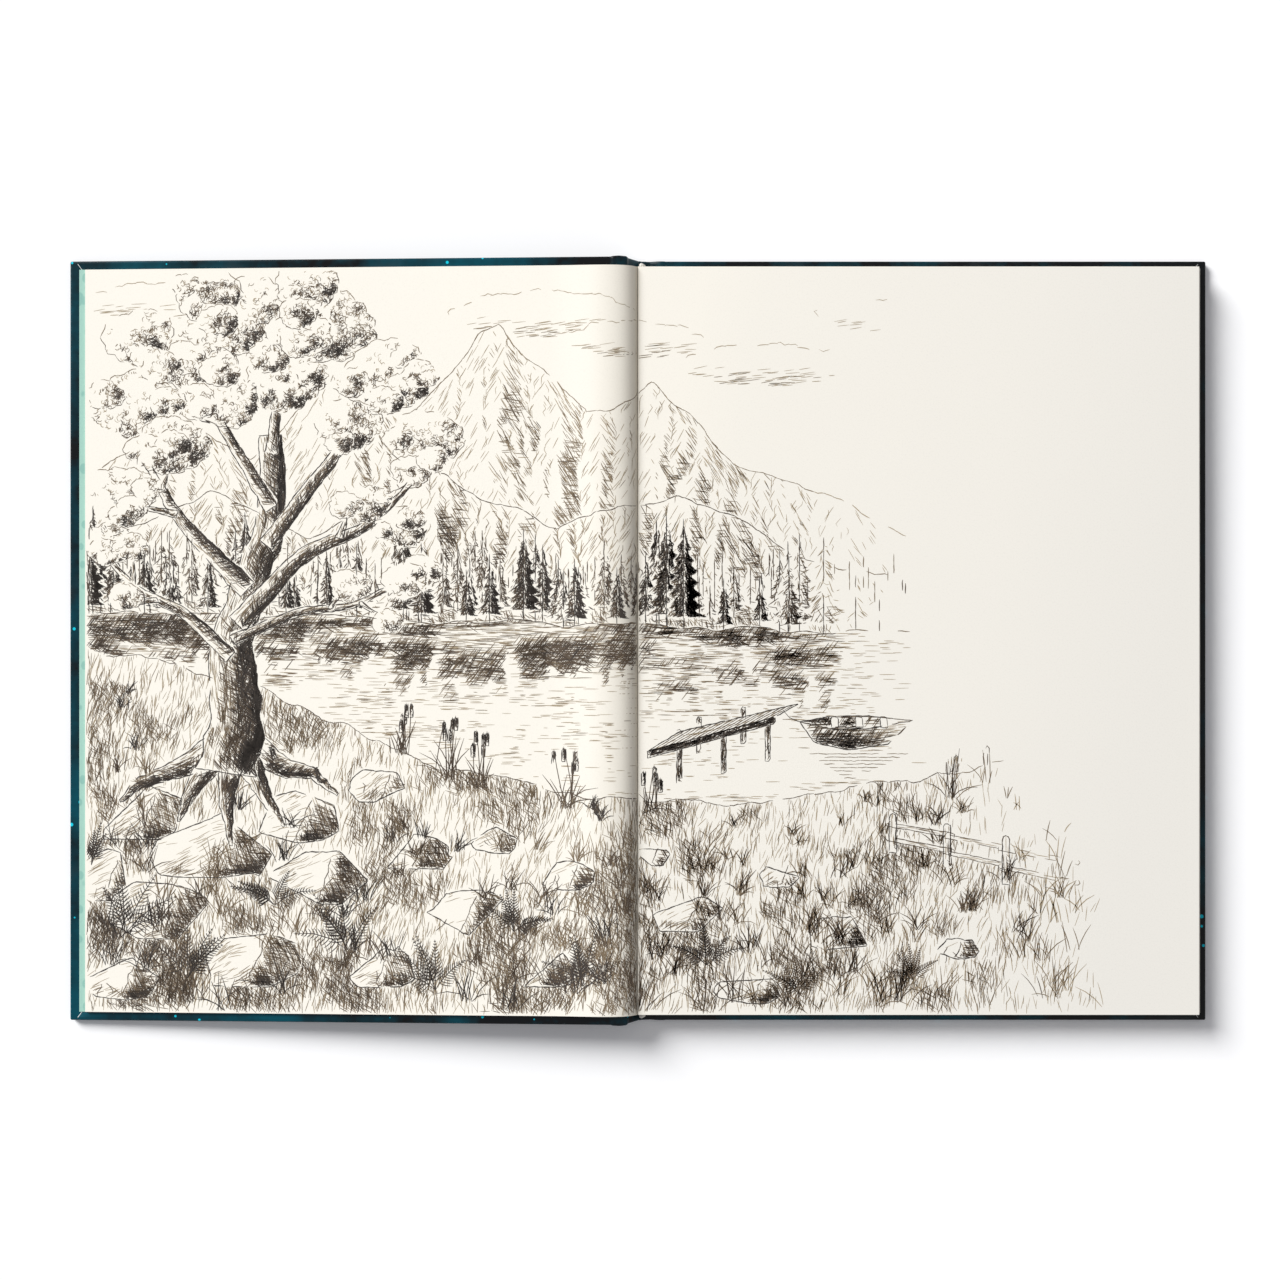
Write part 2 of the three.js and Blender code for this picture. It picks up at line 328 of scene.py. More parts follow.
def grey_pulp_board(name, c):
    f = Finish(name, c.board, roughness=0.92)
    pulp = f.noise(700, 4, 0.7)
    speck = f.ramp(f.noise(1900), (0.62, 0.0), (0.7, 1.0))
    shade = f.mix(pulp, toned(c.board, 0.7), toned(c.board, 1.2))
    f.paint(f.mix(speck * 0.5, shade, toned(c.board, 0.45)))
    return f.relief(pulp, 0.0001, 0.5)


def woven_cotton(name, c):
    f = Finish(name, c.cotton, roughness=0.9)
    weave = f.threads("Y", 520, 0.6) * f.threads("Z", 520, 0.6)
    f.paint(f.mix(weave, toned(c.cotton, 0.78), c.cotton))
    return f.relief(weave, 0.00012, 0.6)


def wound_thread(name, c):
    f = Finish(name, c.cotton, roughness=0.75)
    turns = f.threads("Z", 900)
    f.paint(f.mix(turns, toned(c.cotton, 0.7), c.cotton))
    return f.relief(turns, 0.00015, 0.7)


# Places in the book's section


def case_sizes():
    return bpy.context.scene.case_sizes


def leaf_sizes():
    return bpy.context.scene.leaf_sizes


def turned(points, corner, lean, way=1):
    """Points (along, up the book, out) of a panel that leans from a corner of the section."""
    along, up, out = np.moveaxis(np.asarray(points, float), -1, 0)
    x = corner[0] + way * along * cos(lean) + out * sin(lean)
    return np.stack([x, up, corner[1] - way * along * sin(lean) + out * cos(lean)], -1)


def on_right(points):
    """Points as distance from the gutter, place up the page and height over the surface."""
    return turned(points, (GUTTER_X, 0), 0)


def on_left(points):
    """Points of the left half, as on_right, with heights over its cover's outer face.

    It turns down about a line over the gutter until its fore-edge reaches the surface.
    """
    half_rise = leaf_sizes().gutter_rise / 2
    drop = leaf_sizes().left_page - half_rise
    line_z = RIGHT_HIGH.z + half_rise
    edge_x = CASE_HIGH.x - GUTTER_X - EDGE_SEAT
    edge_z = EDGE_SEAT - drop
    slope = asin((line_z - EDGE_SEAT - EDGE_AIR) / hypot(edge_x, edge_z)) + atan2(edge_z, edge_x)
    return turned(points - np.array([0, 0, drop]), (GUTTER_X, line_z), -slope, -1)


def on_spine(points):
    """Points of the spine panel: along it from its pivot, up the book, out of its inner face."""
    s = case_sizes()
    return turned(points, (GUTTER_X - s.hollow, s.spine_pivot), SPINE_LEAN)


def walked(path):
    """Distance along a path at each of its points."""
    return np.concatenate([[0], np.cumsum(np.hypot(*np.diff(path, axis=0).T))])


def along_path(at, knots, path):
    """Points of a path in the plane, between its knots."""
    return np.stack([np.interp(at, knots, path[:, 0]), np.interp(at, knots, path[:, 1])], -1)


def eased(path, count, rounds):
    """A path with that many points, smoothed."""
    path = np.asarray(path, float)
    line = along_path(np.linspace(0, 1, count), np.linspace(0, 1, len(path)), path)
    for _ in range(rounds):
        line[1:-1] = (line[:-2] + 2 * line[1:-1] + line[2:]) / 4
    return line


def headings(line):
    """Unit directions along lines in the plane, and square to them."""
    along = np.gradient(line, axis=-2)
    along /= np.maximum(np.linalg.norm(along, axis=-1, keepdims=True), 1e-6)
    return along, np.stack([-along[..., 1], along[..., 0]], -1)


def left_curve(stations):
    """The left page's section (out, high) and its normal, by distance from the gutter."""
    s = leaf_sizes()
    handles = [
        (0.2 * MM, s.left_page - s.gutter_rise), (s.climb, s.left_page + s.belly),
        (s.belly_at, s.left_page + s.belly), (s.settled_at, s.left_page),
    ]
    t = np.linspace(0, 1, 241)[:, None]
    shares = ((1 - t) ** 3, 3 * (1 - t) ** 2 * t, 3 * (1 - t) * t**2, t**3)
    bend = sum(share * np.array(handle) for share, handle in zip(shares, handles))
    steep = 15 * MM
    out = np.arange(steep, s.settled_at + steep, 0.5 * MM)
    high = np.interp(out, [*bend[:, 0], s.settled_at + 40 * MM], [*bend[:, 1], s.left_page])
    soft = np.convolve(np.pad(high, 12, mode="edge"), np.ones(25) / 25, mode="valid")
    share = np.clip((out - steep) / (6 * MM), 0, 1)
    eased_part = np.stack([out, high * (1 - share) + soft * share], 1)
    flat_end = [s.settled_at + s.page_width, s.left_page]
    bend = np.vstack([bend[bend[:, 0] < steep], eased_part, flat_end])
    knots = walked(bend)
    reach = 0.3 * MM
    stations = np.asarray(stations, float)
    along = along_path(stations + reach, knots, bend)
    along -= along_path(np.maximum(stations - reach, 0), knots, bend)
    along /= np.linalg.norm(along, axis=-1, keepdims=True)
    return along_path(stations, knots, bend), np.stack([-along[..., 1], along[..., 0]], -1)


def on_left_page(distance, up, lift):
    """Points on the curved left page, lifted off it along its normal."""
    here, normal = left_curve(distance)
    lifted = here + normal * (np.asarray(lift, float) + PAGE_TOP - RIGHT_HIGH.z)[..., None]
    return on_left(np.stack([lifted[..., 0], up, lifted[..., 1]], -1))


# Mesh making


def new_mesh(name, points, faces, recipes, recipe_of=None, sharp=40, tidy=True):
    mesh = bpy.data.meshes.new(name)
    mesh.from_pydata(np.asarray(points, float).tolist(), [], [[int(i) for i in f] for f in faces])
    for recipe in recipes:
        mesh.materials.append(finish(recipe))
    if recipe_of is not None:
        mesh.polygons.foreach_set("material_index", np.asarray(recipe_of, np.int32))
    mesh.polygons.foreach_set("use_smooth", np.ones(len(mesh.polygons), bool))
    if tidy:
        shape = bmesh.new()
        shape.from_mesh(mesh)
        bmesh.ops.remove_doubles(shape, verts=shape.verts, dist=1e-6)
        bmesh.ops.recalc_face_normals(shape, faces=shape.faces)
        shape.to_mesh(mesh)
        shape.free()
    mesh.set_sharp_from_angle(angle=radians(sharp))
    piece = bpy.data.objects.new(name, mesh)
    bpy.context.scene.collection.objects.link(piece)
    return piece


def settle(piece, body=None, node=None):
    """Say which node a piece stands for and the body that it rides on."""
    if node:
        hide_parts(node)
    if body:
        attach(piece, body)
    return piece


def flex_left(piece):
    """Bake the piece's placement into its mesh."""
    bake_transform(piece)


def grid_faces(rows, columns, first=0):
    corner = first + np.arange(rows - 1)[:, None] * columns + np.arange(columns - 1)[None, :]
    quads = [corner, corner + 1, corner + columns + 1, corner + columns]
    return np.stack(quads, -1).reshape(-1, 4)


def tube_faces(rows, columns):
    """Faces of a closed tube of rings, with its two ends."""
    ring = np.arange(columns)
    faces = []
    for start in range(0, (rows - 1) * columns, columns):
        near, far = ring + start, ring + start + columns
        faces += np.stack([near, np.roll(near, -1), np.roll(far, -1), far], 1).tolist()
    return [*faces, ring, ring + (rows - 1) * columns]


def sheet_shell(upper, lower):
    """A closed sheet between two grids of points: points, faces, and which are its cut edges."""
    rows, columns = upper.shape[:2]
    count = rows * columns
    index = np.arange(count).reshape(rows, columns)
    rim = np.concatenate([index[0], index[1:, -1], index[-1, -2::-1], index[-2:0:-1, 0]])
    following = np.roll(rim, -1)
    flat = np.vstack([grid_faces(rows, columns), grid_faces(rows, columns, count)[:, ::-1]])
    wall = np.stack([following, rim, rim + count, following + count], -1)
    is_edge = np.repeat([0, 1], [len(flat), len(wall)])
    points = np.concatenate([upper.reshape(-1, 3), lower.reshape(-1, 3)])
    return points, np.vstack([flat, wall]), is_edge


def sheet_stack(name, shells, recipes, recipes_of):
    """Many sheets as one mesh. recipes_of has the recipe of each sheet's faces and its edges."""
    points, faces, recipe_of, start = [], [], [], 0
    for (p, f, is_edge), (face, edge) in zip(shells, recipes_of):
        points.append(p)
        faces.append(f + start)
        recipe_of.append(np.where(is_edge == 1, edge, face))
        start += len(p)
    joined = np.vstack(points), np.vstack(faces), recipes, np.concatenate(recipe_of)
    return new_mesh(name, *joined, tidy=False)


def page_rows(half):
    """Places up a leaf, closer at its head and tail."""
    middle = np.linspace(-half + 10 * MM, half - 10 * MM, 13)
    return np.concatenate([[-half, -half + 1 * MM], middle, [half - 1 * MM, half]])


def rounded_profile(depth):
    """Section (inset, height) of the cover paper, from its turn-in round the board's edge."""
    s = case_sizes()
    r = s.edge_round
    turns = [radians(a) for a in (90, 67.5, 45, 22.5, 0)]
    above = [(r - r * cos(a), depth - r + r * sin(a)) for a in turns]
    below = [(r - r * cos(a), r - r * sin(a)) for a in reversed(turns)]
    flat = r + 0.6 * MM
    return [(s.turn_in, depth), (flat, depth), *above, *below, (flat, 0)]


def folded_cover(name, depth, place):
    """Cover paper round one board, turned in on head, tail and fore-edge."""
    s = case_sizes()
    near, far, half, paper = s.board_inset, CASE_HIGH.x - GUTTER_X, CASE_HIGH.y, s.cover_paper
    outer = [*rounded_profile(depth), (half, 0)]
    inner = [(half, paper), (paper, paper), (paper, depth - paper), (s.turn_in, depth - paper)]
    rings = []
    for inset, high in outer + inner:
        radius = max(s.corner_round - inset, 0)
        ring = [(near, -(half - inset), high)]
        for side, sweep in ((-1, (-90, 0)), (1, (0, 90))):
            cx, cy = far - inset - radius, side * (half - inset - radius)
            for a in np.radians(np.linspace(*sweep, 6)):
                ring.append((cx + radius * cos(a), cy + radius * sin(a), high))
        rings.append([*ring, (near, half - inset, high)])
    rings = np.array(rings)
    rows, columns = rings.shape[:2]
    last = columns * (rows - 1)
    faces = [f for f in grid_faces(rows, columns) if f[0] // columns != len(outer) - 1]
    faces += [(last + i, last + i + 1, i + 1, i) for i in range(columns - 1)]
    faces += [range(0, rows * columns, columns), range(columns - 1, rows * columns, columns)]
    return new_mesh(name, place(rings.reshape(-1, 3)), faces, [laminated_print])


def turn_in_flap(name, depth, place, end):
    """Head or tail turn-in, folded over last, with its mitre and white cut edge."""
    s = case_sizes()
    far, half = CASE_HIGH.x - GUTTER_X, CASE_HIGH.y
    near, rim = s.board_inset + 0.6 * MM, 1.2 * MM
    outer_x, inner_x = far - rim - 2.2 * MM, far - s.turn_in
    grids = []
    for high, wider in ((depth + 0.13 * MM, 0), (depth - 0.02 * MM, 0.32 * MM)):
        rows = []
        for share in np.linspace(0, 1, 5):
            y = end * (half - rim - share * (s.turn_in - rim))
            bow = 0.5 * MM * sin(share * pi)
            x_end = outer_x + (inner_x - outer_x) * share + bow + wider
            rows.append([(x, y, high) for x in np.linspace(near, x_end, 24)])
        grids.append(np.array(rows))
    points, faces, is_edge = sheet_shell(*grids)
    recipes = [laminated_print, paper_core]
    return new_mesh(name, place(points), faces, recipes, is_edge, tidy=False)


def joint_strip(name, start, end):
    """Flexible strip of cover paper between a board and the spine, rolled at head and tail."""
    start, end = np.array(start), np.array(end)
    middle = (start + end) / 2 - (0, case_sizes().joint_sag)
    t = np.linspace(0, 1, 25)[:, None]
    line = (1 - t) ** 2 * start + 2 * t * (1 - t) * middle + t**2 * end
    half = CASE_HIGH.y - 0.1 * MM
    rolled = half - np.array([0, 0.12, 0.4, 15]) * MM
    ups = np.array([*-rolled, -half / 2, 0, half / 2, *rolled[::-1]])
    thick = np.array([0.06, 0.2, *[0.3] * 7, 0.2, 0.06]) * MM
    off = headings(line)[1][:, None, :] * thick[None, :, None]
    up = np.broadcast_to(ups, off.shape[:2])
    sides = []
    for side in (1, -1):
        spot = line[:, None, :] + side * off
        sides.append(np.stack([spot[..., 0], up, spot[..., 1]], -1))
    points, faces, _ = sheet_shell(*sides)
    return new_mesh(name, points, faces, [laminated_print], sharp=60)


def joint_turn_in(name, path, end, proud, seed):
    """Cover paper folded in over a joint at head or tail, a little wrinkled."""
    dice = np.random.default_rng(seed)
    t = np.linspace(0, 1, 33)
    line = eased(path, len(t), 5)
    across = headings(line)[1]
    across *= np.sign(across[:, 1].mean())
    insets = np.array([0, 0.05, 0.2, 0.5, 0.9, 1.6, 2.6, 4, 6, 9, 12, 15]) * MM
    drops = np.array([0.75, 0.5, 0.24, 0.06, *[0] * 8]) * MM
    edge = CASE_HIGH.y + proud * np.sin(t * pi) ** 0.6
    crease = 0.16 * MM * np.sin(t * 19 + seed) * np.sin(t * pi)
    upper, lower = [], []
    for k in range(len(line)):
        for rows, lift in ((upper, 0.15 * MM), (lower, -0.15 * MM)):
            rough = dice.normal(0, 0.02 * MM, len(insets)) * (insets > 0)
            wave = crease[k] * np.exp(-insets / (5 * MM)) + rough
            spot = line[k] + (lift - drops + wave)[:, None] * across[k]
            y = end * (edge[k] - insets) + (0 if lift > 0 else -end * 0.12 * MM)
            rows.append(np.stack([spot[:, 0], y, spot[:, 1]], 1))
    points, faces, _ = sheet_shell(np.array(upper), np.array(lower))
    return new_mesh(name, points, faces, [laminated_print], sharp=70)


class Step:
    bl_options = {"REGISTER", "UNDO"}


class BOOK_OT_covers(Step, bpy.types.Operator):
    """Cover paper folded round both boards, with mitred turn-ins at the corners"""

    bl_idname = "book.covers"
    bl_label = "Covers"

    def execute(self, context):
        depth = CASE_HIGH.z
        halves = (("front", on_left, "left_half"), ("back", on_right, "right_half"))
        for side, place, body in halves:
            wrap = folded_cover(f"{side}_cover_paper", depth, place)
            settle(wrap, body, f"{side}_cover_wrap")
            for end, word in ENDS:
                flap = turn_in_flap(f"{side}_{word}_turn_in", depth, place, end)
                settle(flap, body)
        return {"FINISHED"}


class BOOK_OT_spine(Step, bpy.types.Operator):
    """Spine panel, the two flexible joint strips and the folds at their ends"""

    bl_idname = "book.spine"
    bl_label = "Spine and joints"

    def execute(self, context):
        self.panel()
        self.strips()
        self.folds()
        return {"FINISHED"}

    def panel(self):
        s = case_sizes()
        depth, half, paper = s.spine_panel, CASE_HIGH.y, s.cover_paper
        upper_side = [(half - inset, high) for inset, high in rounded_profile(depth)]
        outline = upper_side + [(-y, z) for y, z in reversed(upper_side)]
        edge, rim, floor = half - s.turn_in, half - paper, depth - paper
        outline += [(-edge, floor), (-rim, floor), (-rim, paper)]
        outline += [(rim, paper), (rim, floor), (edge, floor)]
        steps = [(0, 0.8), (0.12 * MM, 0.35), (0.5 * MM, 0)]
        stations = [(x - s.spine_above, tuck) for x, tuck in steps]
        middle = np.linspace(2 * MM - s.spine_above, s.spine_below - 2 * MM, 7)
        stations += [(x, 0) for x in middle]
        stations += [(s.spine_below - x, tuck) for x, tuck in reversed(steps)]
        rings = []
        for x, tuck in stations:
            squeeze = tuck * 0.3 * MM
            limits = squeeze, depth - squeeze
            rings.append([(x, y, float(np.clip(z, *limits)) - depth) for y, z in outline])
        faces = tube_faces(len(rings), len(outline))
        points = on_spine(np.array(rings).reshape(-1, 3))
        panel = new_mesh("spine_cover_paper", points, faces, [laminated_print])
        settle(panel, "spine", "spine_wrap")

    def strips(self):
        s = case_sizes()
        gap = 0.5 * MM
        at_cover = (s.board_inset + gap, 0, CASE_HIGH.z - s.joint_depth - 0.6 * MM)
        left_x, _, left_z = on_left(at_cover)
        right_x, _, right_z = on_right(at_cover)
        above_x, _, above_z = on_spine((-s.spine_above - gap, 0, -s.joint_depth))
        below_x, _, below_z = on_spine((s.spine_below + gap, 0, -s.joint_depth))
        front = joint_strip("front_joint_paper", (left_x, left_z), (above_x, above_z))
        settle(front, node="front_joint")
        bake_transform(front)
        back = joint_strip("back_joint_paper", (below_x, below_z), (right_x, right_z))
        settle(back, node="back_joint")
        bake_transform(back)

    def folds(self):
        rise = CASE_HIGH.z / MM + 0.12
        on_front_spine = [(-6.2, 0, 0.25), (-7.6, 0, 0.5), (-8.7, 0, 0.1)]
        on_front_cover = [(7.6, 0, rise - 0.1), (9.0, 0, rise + 0.3), (10.9, 0, rise)]
        on_back_spine = [(3.6, 0, 0.2), (4.9, 0, 0.35)]
        on_back_cover = [(4.0, 0, 1.9), (6.6, 0, 2.4), (9.2, 0, rise + 0.2), (11.4, 0, rise)]
        on_panel = [on_spine(np.array(path) * MM) for path in (on_front_spine, on_back_spine)]
        front = np.vstack([on_panel[0], on_left(np.array(on_front_cover) * MM)])
        back = np.vstack([on_panel[1], on_right(np.array(on_back_cover) * MM)])
        for end, word in ENDS:
            fold = joint_turn_in(f"front_joint_{word}_fold", front[:, [0, 2]], end, 0.35 * MM, 3)
            settle(fold)
            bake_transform(fold)
            fold = joint_turn_in(f"back_joint_{word}_fold", back[:, [0, 2]], end, 0.1 * MM, 8)
            settle(fold)
            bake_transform(fold)


class BOOK_OT_boards(Step, bpy.types.Operator):
    """Finishes of the boards, endpapers and lining, whose solids are right as they are"""

    bl_idname = "book.boards"
    bl_label = "Boards and endpapers"

    def execute(self, context):
        for recipe, nodes in (
            (grey_pulp_board, ("front_board", "back_board", "spine_board")),
            (mint_endpaper, ("front_pastedown", "back_pastedown")),
            (woven_cotton, ("spine_lining",)),
        ):
            for node in nodes:
                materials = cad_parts[node].data.materials
                materials.clear()
                materials.append(finish(recipe))
        return {"FINISHED"}


class BOOK_OT_right_leaves(Step, bpy.types.Operator):
    """The right stack, sheet by sheet, with its leaning fore-edge"""

    bl_idname = "book.right_leaves"
    bl_label = "Right leaves"

    def execute(self, context):
        s = leaf_sizes()
        dice = np.random.default_rng(11)
        foot_x = RIGHT_HIGH.x - GUTTER_X - s.page_width
        pitch = (PAGE_TOP - RIGHT_LOW.z) / s.right_sheets
        half = RIGHT_HIGH.y
        spread = np.linspace(12 * MM, s.page_width, 16)
        columns = np.concatenate([np.array([0, 0.3, 0.8, 2, 5]) * MM, spread])
        rows = page_rows(half)
        shells, recipes_of = [], []
        for k in range(s.right_sheets):
            low = RIGHT_LOW.z + k * pitch
            lean = foot_x * (1 - (k + 0.5) / s.right_sheets)
            trim, skew = dice.uniform(-0.09, 0.05) * MM, dice.uniform(-0.06, 0.06) * MM
            sway = 0.05 * MM * np.sin(rows / (37 * MM) + dice.uniform(0, 6))[:, None]
            x, y = np.meshgrid(columns, rows)
            x = x / s.page_width * (s.page_width + trim) + lean + sway * (x / s.page_width)
            y = np.clip(y * (1 - dice.uniform(0, 0.0007)) + skew, -half, half)
            top = np.full_like(x, low + pitch * 0.93)
            if k == s.right_sheets - 1:
                top[:] = PAGE_TOP - np.clip(1 - columns / (1.2 * MM), 0, 1) ** 2 * 0.15 * MM
            sides = [on_right(np.stack([x, y, z], -1)) for z in (top, np.full_like(x, low))]
            shells.append(sheet_shell(*sides))
            recipes_of.append((0, 1) if k > 1 else (2, 2))
        recipes = [uncoated_page, cut_paper, mint_endpaper]
        leaves = sheet_stack("right_sheets", shells, recipes, recipes_of)
        settle(leaves, "right_half", "right_leaves")
        return {"FINISHED"}


class BOOK_OT_left_leaves(Step, bpy.types.Operator):
    """The left stack, climbing out of the gutter"""

    bl_idname = "book.left_leaves"
    bl_label = "Left leaves"

    def execute(self, context):
        s = leaf_sizes()
        dice = np.random.default_rng(5)
        bend = s.settled_at + 18 * MM
        flat = np.linspace(bend, s.page_width, 17)[1:]
        along = np.concatenate([np.linspace(0, bend, 97), flat])
        rows = page_rows(RIGHT_HIGH.y - 0.15 * MM)
        pitch = s.left_stack / s.left_sheets
        shells = []
        for k in range(s.left_sheets):
            short = dice.uniform(0, 0.25) * MM * (k > 0)
            d, y = np.meshgrid(along * (1 - short / s.page_width), rows)
            y = y * (1 - dice.uniform(0, 0.0006) * (k > 0))
            lifts = (-k * pitch, -k * pitch - pitch * 0.94)
            sides = [on_left_page(d, y, np.full_like(d, lift)) for lift in lifts]
            shells.append(sheet_shell(*sides))
        recipes_of = [(0, 1)] * s.left_sheets
        leaves = sheet_stack("left_sheets", shells, [uncoated_page, cut_paper], recipes_of)
        settle(leaves, node="left_leaves")
        flex_left(leaves)
        return {"FINISHED"}


class BOOK_OT_bands(Step, bpy.types.Operator):
    """Sewn bands at the head and tail of the block: a wound core on a tab of cloth"""

    bl_idname = "book.bands"
    bl_label = "Head and tail bands"

    def execute(self, context):
        radius = leaf_sizes().band_radius
        turns = np.linspace(0, 2 * pi, 21)[:-1]
        for end, word in ENDS:
            node = f"{word}band"
            low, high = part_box(node)
            bead_y = end * (RIGHT_HIGH.y + 0.2 * MM + radius)
            lean = (high.x - low.x - 2 * radius) / (high.z - low.z)
            rings = []
            for z in np.linspace(low.z, high.z, 60):
                closing = min(1, min(z - low.z, high.z - z) / (0.4 * MM) + 0.25)
                thread = 0.95 + 0.05 * abs(sin((z - low.z) / (0.42 * MM) * pi))
                bulge = radius * closing * thread
                cx = low.x + radius + (high.z - z) * lean
                rings.append([(cx + bulge * cos(a), bead_y + bulge * sin(a), z) for a in turns])
            points = np.array(rings).reshape(-1, 3)
            faces = tube_faces(len(rings), len(turns))
            bead = new_mesh(f"{node}_bead", points, faces, [wound_thread])
            settle(bead, "right_half", node)
            inner_y = low.y if end > 0 else high.y
            heights = np.linspace(low.z, high.z, 8)
            z, y = np.meshgrid(heights, np.linspace(inner_y, bead_y - end * 0.2 * MM, 8))
            x = low.x + 0.05 * MM + (high.z - z) * lean
            sides = [np.stack([x + thick, y, z], -1) for thick in (0.35 * MM, 0)]
            points, faces, _ = sheet_shell(*sides)
            cloth = new_mesh(f"{node}_cloth", points, faces, [woven_cotton], sharp=50)
            settle(cloth, "right_half")
        return {"FINISHED"}


# The drawing, in millimetres: regions of tone and direction, then pencil strokes over them


class DrawingSettings(bpy.types.PropertyGroup):
    density: FloatProperty(
        name="Density", description="How closely the pencil strokes lie", default=1.0, min=0.2
    )
    width: length("Stroke width", "Width of a common pencil stroke", 0.25)
    lift: length("Lift", "Height of the strokes over the paper", 0.03)
    soft: colour("Soft pencil", "Palest strokes", 166, 149, 121)
    middle: colour("Middle pencil", "Middle strokes", 122, 105, 82)
    dark: colour("Dark pencil", "Dark strokes", 78, 64, 49)
    deep: colour("Deep pencil", "Darkest strokes", 46, 38, 31)


INKS = ("soft", "middle", "dark", "deep")
SOFT, MIDDLE, DARK, DEEP = range(4)
UPRIGHT = radians(90)
CELL = 0.5
HALF_WIDE, HALF_HIGH = 228.0, 152.0
ACROSS = np.arange(-HALF_WIDE, HALF_WIDE, CELL)
UPWARD = np.arange(-HALF_HIGH, HALF_HIGH, CELL)
GRID_X, GRID_Y = np.meshgrid(ACROSS, UPWARD)
STRETCH = 60  # columns of the grid in one stretch of a long line
WHOLE = len(ACROSS) // STRETCH * STRETCH + 1
STEPS = 6  # that a stroke takes at most
HATCH_PITCH = 0.7  # between the places where strokes may start
HATCH_SHARE = 0.56  # of those places that carry a stroke in the darkest tone
LEAFY = 0.6  # ruffle above which strokes curl
GUTTER_GAP = 0.45  # kept free of pencil on each side of the gutter


def cloudy(size, seed, octaves=3, stretch=(1.0, 1.0)):
    """Smooth noise over the spread, 0 to 1, with features of that many millimetres."""
    total, weight = np.zeros_like(GRID_X), 0
    for octave in range(octaves):
        dice = np.random.default_rng(seed + octave)
        step_x, step_y = size * stretch[0] / 2**octave, size * stretch[1] / 2**octave
        table = dice.random((int(2 * HALF_HIGH / step_y) + 3, int(2 * HALF_WIDE / step_x) + 3))
        gx, gy = (GRID_X + HALF_WIDE) / step_x, (GRID_Y + HALF_HIGH) / step_y
        ix, iy = gx.astype(int), gy.astype(int)
        fx, fy = gx - ix, gy - iy
        fx, fy = fx * fx * (3 - 2 * fx), fy * fy * (3 - 2 * fy)
        low = table[iy, ix] * (1 - fx) + table[iy, ix + 1] * fx
        high = table[iy + 1, ix] * (1 - fx) + table[iy + 1, ix + 1] * fx
        total += (low * (1 - fy) + high * fy) / 2**octave
        weight += 1 / 2**octave
    return total / weight


def profile(stops, roughness, seed):
    """Height at every column from (across, height) stops, roughened by noise."""
    heights = np.interp(ACROSS, *zip(*stops))
    return heights + roughness * 2 * (cloudy(18, seed, 4)[len(UPWARD) // 2] - 0.5)


def smooth(value, low, high):
    t = np.clip((value - low) / (high - low), 0, 1)
    return t * t * (3 - 2 * t)


def window(outline):
    """Rows and columns of the grid round an outline."""
    spans = []
    for low, high, half in zip(np.min(outline, 0), np.max(outline, 0), (HALF_WIDE, HALF_HIGH)):
        first, last = int((low + half) / CELL) - 1, int((high + half) / CELL) + 2
        spans.append(slice(max(first, 0), max(last, 0)))
    return spans[1], spans[0]


def covered(outline, x, y):
    """Which points lie inside an outline."""
    inside = np.zeros(x.shape, bool)
    for (x0, y0), (x1, y1) in zip(outline, np.roll(outline, -1, 0)):
        if y0 != y1:
            inside ^= ((y0 > y) != (y1 > y)) & (x < (x1 - x0) * (y - y0) / (y1 - y0) + x0)
    return inside


def cells(spots):
    """Row and column of the grid at each spot."""
    rows = np.clip(((spots[:, 1] + HALF_HIGH) / CELL).astype(int), 0, len(UPWARD) - 1)
    columns = np.clip(((spots[:, 0] + HALF_WIDE) / CELL).astype(int), 0, len(ACROSS) - 1)
    return rows, columns


def oval(cx, cy, wide, high, around, swell):
    """An outline round a centre, swelling in and out."""
    x = cx + wide * swell * np.cos(around)
    return np.stack([x, cy + high * swell * np.sin(around)], 1)


